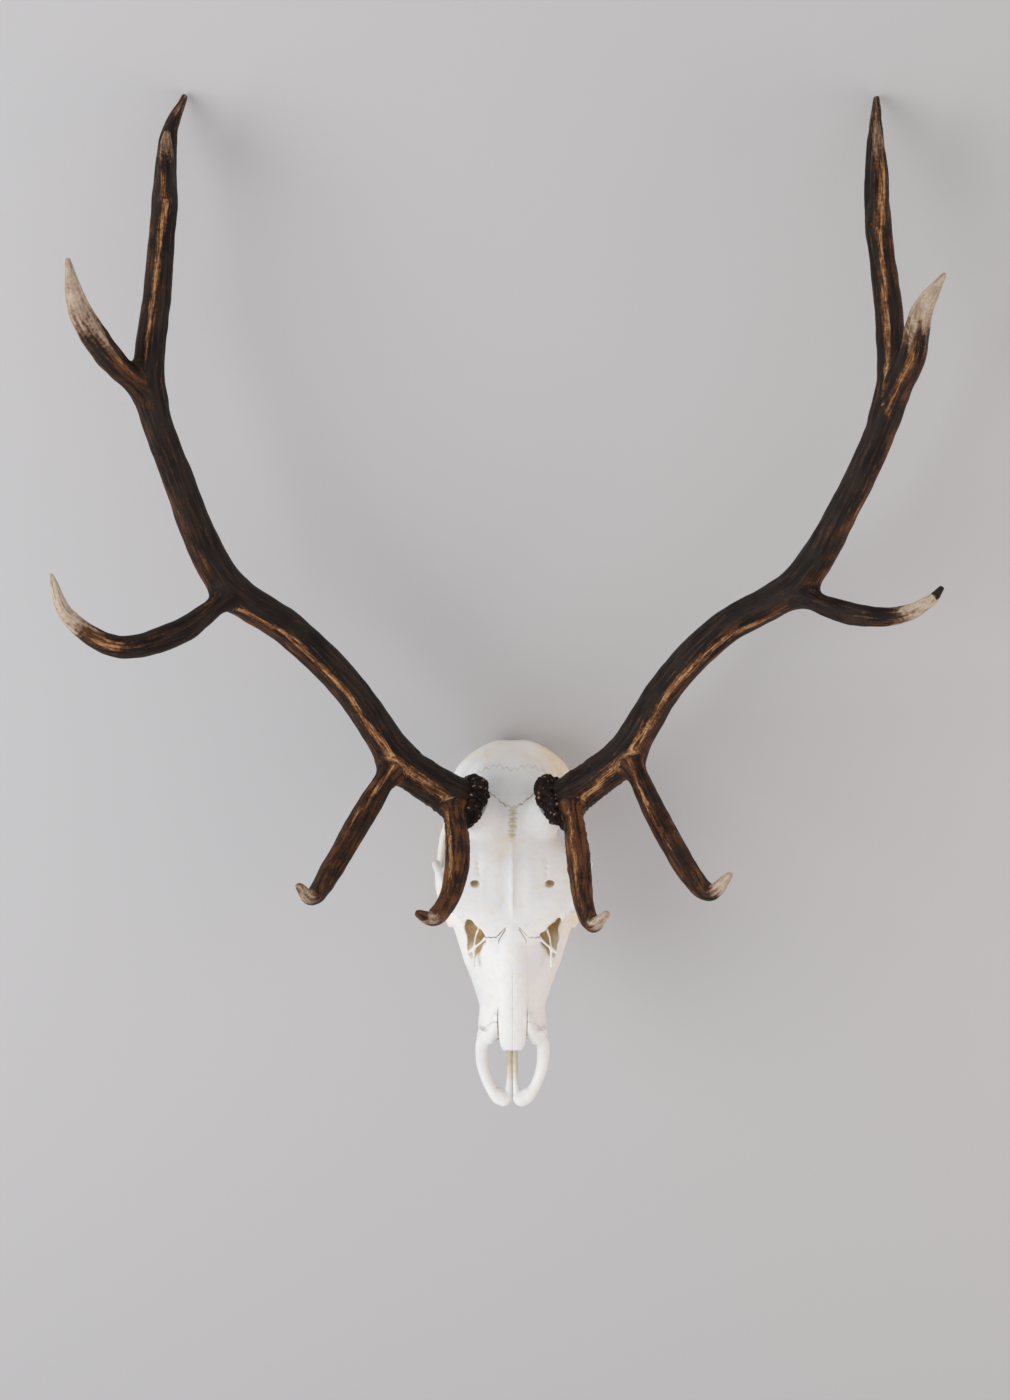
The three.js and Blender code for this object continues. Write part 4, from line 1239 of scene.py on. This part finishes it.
def painted_plaster(colours):
    """Painted plaster: pale, matt, with a faint orange-peel relief from the roller."""
    material, tree = started("painted_plaster")
    if tree is None:
        return material
    place = add(tree, "ShaderNodeTexCoord").outputs["Object"]
    found = patterns(tree, (), {"grain": (place, 14, 3.0)}, {})  # coarser than real, so that it shows
    bump = add(tree, "ShaderNodeBump", {
        "Height": found["grain"], "Strength": 0.25, "Distance": 0.8 * MM}).outputs[0]
    shader = add(tree, "ShaderNodeBsdfPrincipled", {
        "Base Color": tuple(colours.floor), "Roughness": 0.9, "Normal": bump})
    add(tree, "ShaderNodeOutputMaterial", {"Surface": shader.outputs[0]})
    return material


# ---------- settings ----------

def length(name, description, millimetres):
    """A length, given in millimetres and held in metres."""
    return FloatProperty(name=name, description=description, default=millimetres * MM, min=0.0, unit="LENGTH")


def tint(name, description, hex_colour):
    """A colour, given as sRGB hex and held linear."""
    colour = linear(hex_colour)
    return FloatVectorProperty(name=name, description=description, default=colour, size=4, subtype="COLOR")


def level(name, description, value, unit="NONE"):
    """The power or strength of a light."""
    return FloatProperty(name=name, description=description, default=value, min=0.0, unit=unit)


class BoneSettings(bpy.types.PropertyGroup):
    """Sizes and colours of the skull's bones"""
    grain: length("Grain", "Distance between neighbouring points of the bone", 1.25)
    blend: length("Blend", "Width of the rounded crease where masses of bone meet", 8)
    gap: length("Suture gap", "Width of the gap between neighbouring bones", 0.25)
    wave: length("Suture wave", "How far the knitted sutures swing to each side", 1.8)
    white: tint("White", "Bleached bone", "#f3f2ef")
    cool: tint("Cool", "Denser bone in wide faint patches", "#e8e9ea")
    cream: tint("Cream", "Bone that kept a little oil", "#f1e8da")
    stain: tint("Stain", "Yellow green of the knitted sutures", "#c8bd99")
    seam: tint("Seam", "Edge of a bone at a suture", "#bdb09a")
    # its darker layers, deep in hollows and on the palate bars, are painted shade
    hollow: tint("Hollow", "Inside deep openings", "#bc9e6a")


class AntlerSettings(bpy.types.PropertyGroup):
    """Sizes and colours of the antlers"""
    grain: length("Grain", "Distance between neighbouring points of an antler", 1.73)
    blend: length("Fork blend", "Width of the rounded crease at a fork", 26)
    groove: length("Groove", "Depth of the grooves along an antler", 0.55)
    dark: tint("Dark", "Sap stain in the grooves", "#1a1412")
    cold: tint("Cold", "Grey brown of the upper side", "#2b241e")
    brown: tint("Brown", "Crests of the grain", "#3a2c22")
    red: tint("Red brown", "Lower side and the edges of polished ridges", "#4a2e1e")
    tan: tint("Tan", "Polished ridges", "#8a5a34")
    # the pale middle of a polished ridge is partly a painted highlight
    gold_polish_and_highlight: tint("Gold", "Middle of the polished ridges", "#d0a878")
    ivory: tint("Ivory", "Worn tips", "#cfbfab")


class ToothSettings(bpy.types.PropertyGroup):
    """Colours of the cheek teeth"""
    cream: tint("Enamel", "Enamel", "#e2d8be")
    stain: tint("Stain", "Dentine and tartar", "#4a3420")


class StageSettings(bpy.types.PropertyGroup):
    """Floor, lights and camera"""
    floor: tint("Floor", "Floor", "#cac9c9")
    key: level("Key light", "Power of the large soft light", 56.0, "POWER")
    bounce: level("Bounce", "Power of the warm light from the right", 12.0, "POWER")
    fill: level("Fill", "Strength of the light from all round", 0.675)


# ---------- operators ----------

class ELKSKULL_OT_bones(bpy.types.Operator):
    """Build the bones of the skull from one field, parted at the sutures"""
    bl_idname = "elkskull.bones"
    bl_label = "Bones"

    def execute(self, context):
        sizes = context.scene.elk_skull_bone
        for name in LARGE_BONES:
            make_bone("bone_" + name, name, sizes, [name])
        for name in PAIRED_BONES:
            for word, side in SIDES.items():
                make_bone(f"bone_{name}_{word}", name, sizes, [f"{name}_{word}"], side)
        skull.cache_clear()
        return {"FINISHED"}


class ELKSKULL_OT_teeth(bpy.types.Operator):
    """Build both rows of cheek teeth"""
    bl_idname = "elkskull.teeth"
    bl_label = "Cheek teeth"

    def execute(self, context):
        for name, side in SIDES.items():
            teeth(name, side, context.scene.elk_skull_tooth)
        return {"FINISHED"}


class ELKSKULL_OT_antlers(bpy.types.Operator):
    """Build both antlers, each one smooth branching piece"""
    bl_idname = "elkskull.antlers"
    bl_label = "Antlers"

    def execute(self, context):
        for name, side in SIDES.items():
            antler(name, side, context.scene.elk_skull_antler)
        return {"FINISHED"}


class ELKSKULL_OT_burrs(bpy.types.Operator):
    """Build the pearled ring round the foot of each antler"""
    bl_idname = "elkskull.burrs"
    bl_label = "Burrs"

    def execute(self, context):
        for name, side in SIDES.items():
            burr(name, side, context.scene.elk_skull_antler)
        return {"FINISHED"}


CAMERA = {
    "place": (0.0084, 1.1242, 2.2756), "ahead": (0.0, -0.4955, -0.8686), "right": (1, 0, 0), "lens": 52.23,
}
KEY_LIGHT = {"place": (-2.7, 0.5, 2.3), "aim": (0.0, -0.4, 0.0), "size": 2.4, "colour": "#fbfcff"}
BOUNCE_LIGHT = {"place": (2.4, -0.4, 0.9), "aim": (0.0, -0.3, 0.2), "size": 1.6, "colour": "#ffdac2"}
SKY = "#f9f9fb"
FLOOR_REACH = 8.0


def facing(place, aim):
    """The placement at one point that looks at another."""
    turn = (Vector(aim) - Vector(place)).to_track_quat("-Z", "Y")
    return Matrix.Translation(place) @ turn.to_matrix().to_4x4()


class ELKSKULL_OT_stage(bpy.types.Operator):
    """Lay the floor and set the light and the camera"""
    bl_idname = "elkskull.stage"
    bl_label = "Stage"

    def lamp(self, name, numbers, power):
        """A square light at its place, turned to what it is aimed at."""
        light = bpy.data.lights.new(name, "AREA")
        light.energy = power
        light.size = numbers["size"]
        light.color = linear(numbers["colour"])[:3]
        lamp = bpy.data.objects.new(name, light)
        lamp.matrix_world = facing(numbers["place"], numbers["aim"])
        return lamp

    def execute(self, context):
        scene = context.scene
        settings = scene.elk_skull_stage
        mesh = bpy.data.meshes.new("floor")
        corners = [(x * FLOOR_REACH, y * FLOOR_REACH, 0) for x, y in ((-1, -1), (1, -1), (1, 1), (-1, 1))]
        mesh.from_pydata(corners, [], [(0, 1, 2, 3)])
        mesh.materials.append(painted_plaster(settings))
        floor = bpy.data.objects.new("floor", mesh)
        floor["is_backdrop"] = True
        key = self.lamp("key", KEY_LIGHT, settings.key)
        bounce = self.lamp("bounce", BOUNCE_LIGHT, settings.bounce)
        camera = bpy.data.objects.new("camera", bpy.data.cameras.new("camera"))
        right, ahead = np.array(CAMERA["right"]), np.array(CAMERA["ahead"])
        turn = Matrix(np.column_stack([right, np.cross(right, ahead), -ahead]).tolist())
        camera.matrix_world = Matrix.Translation(CAMERA["place"]) @ turn.to_4x4()
        camera.data.lens = CAMERA["lens"]
        for one in (floor, key, bounce, camera):
            scene.collection.objects.link(one)
        scene.camera = camera
        scene.view_settings.view_transform = "Standard"
        scene.world = bpy.data.worlds.new("room")
        scene.world.use_nodes = True
        sky = scene.world.node_tree.nodes["Background"]
        sky.inputs["Color"].default_value = linear(SKY)
        sky.inputs["Strength"].default_value = settings.fill
        return {"FINISHED"}


STEPS = ("bones", "teeth", "antlers", "burrs", "stage")


class ELKSKULL_PT_panel(bpy.types.Panel):
    """The steps that build the elk skull, in order, and their settings"""
    bl_idname = "ELKSKULL_PT_panel"
    bl_label = "Elk Skull"
    bl_space_type = "VIEW_3D"
    bl_region_type = "UI"
    bl_category = "Elk Skull"

    def draw(self, context):
        for step in STEPS:
            self.layout.operator("elkskull." + step)
        for group in SETTINGS:
            box = self.layout.box()
            settings = getattr(context.scene, group)
            for key in settings.bl_rna.properties.keys():
                if key not in ("rna_type", "name"):
                    box.prop(settings, key)


SETTINGS = {
    "elk_skull_bone": BoneSettings,
    "elk_skull_antler": AntlerSettings,
    "elk_skull_tooth": ToothSettings,
    "elk_skull_stage": StageSettings,
}
OPERATORS = (ELKSKULL_OT_bones, ELKSKULL_OT_teeth, ELKSKULL_OT_antlers, ELKSKULL_OT_burrs, ELKSKULL_OT_stage)
CLASSES = (*SETTINGS.values(), *OPERATORS, ELKSKULL_PT_panel)


def register():
    for one in CLASSES:
        bpy.utils.register_class(one)
    for name, group in SETTINGS.items():
        setattr(bpy.types.Scene, name, PointerProperty(type=group))


def unregister():
    for name in SETTINGS:
        delattr(bpy.types.Scene, name)
    for one in reversed(CLASSES):
        bpy.utils.unregister_class(one)


def main():
    """Registers the add-on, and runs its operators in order."""
    register()
    for step in STEPS:
        getattr(bpy.ops.elkskull, step)()
    boxes = {name: [list(corner) for corner in box] for name, box in (("cad", CAD_BOX), ("visual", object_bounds()))}


if __name__ == "__main__":
    main()
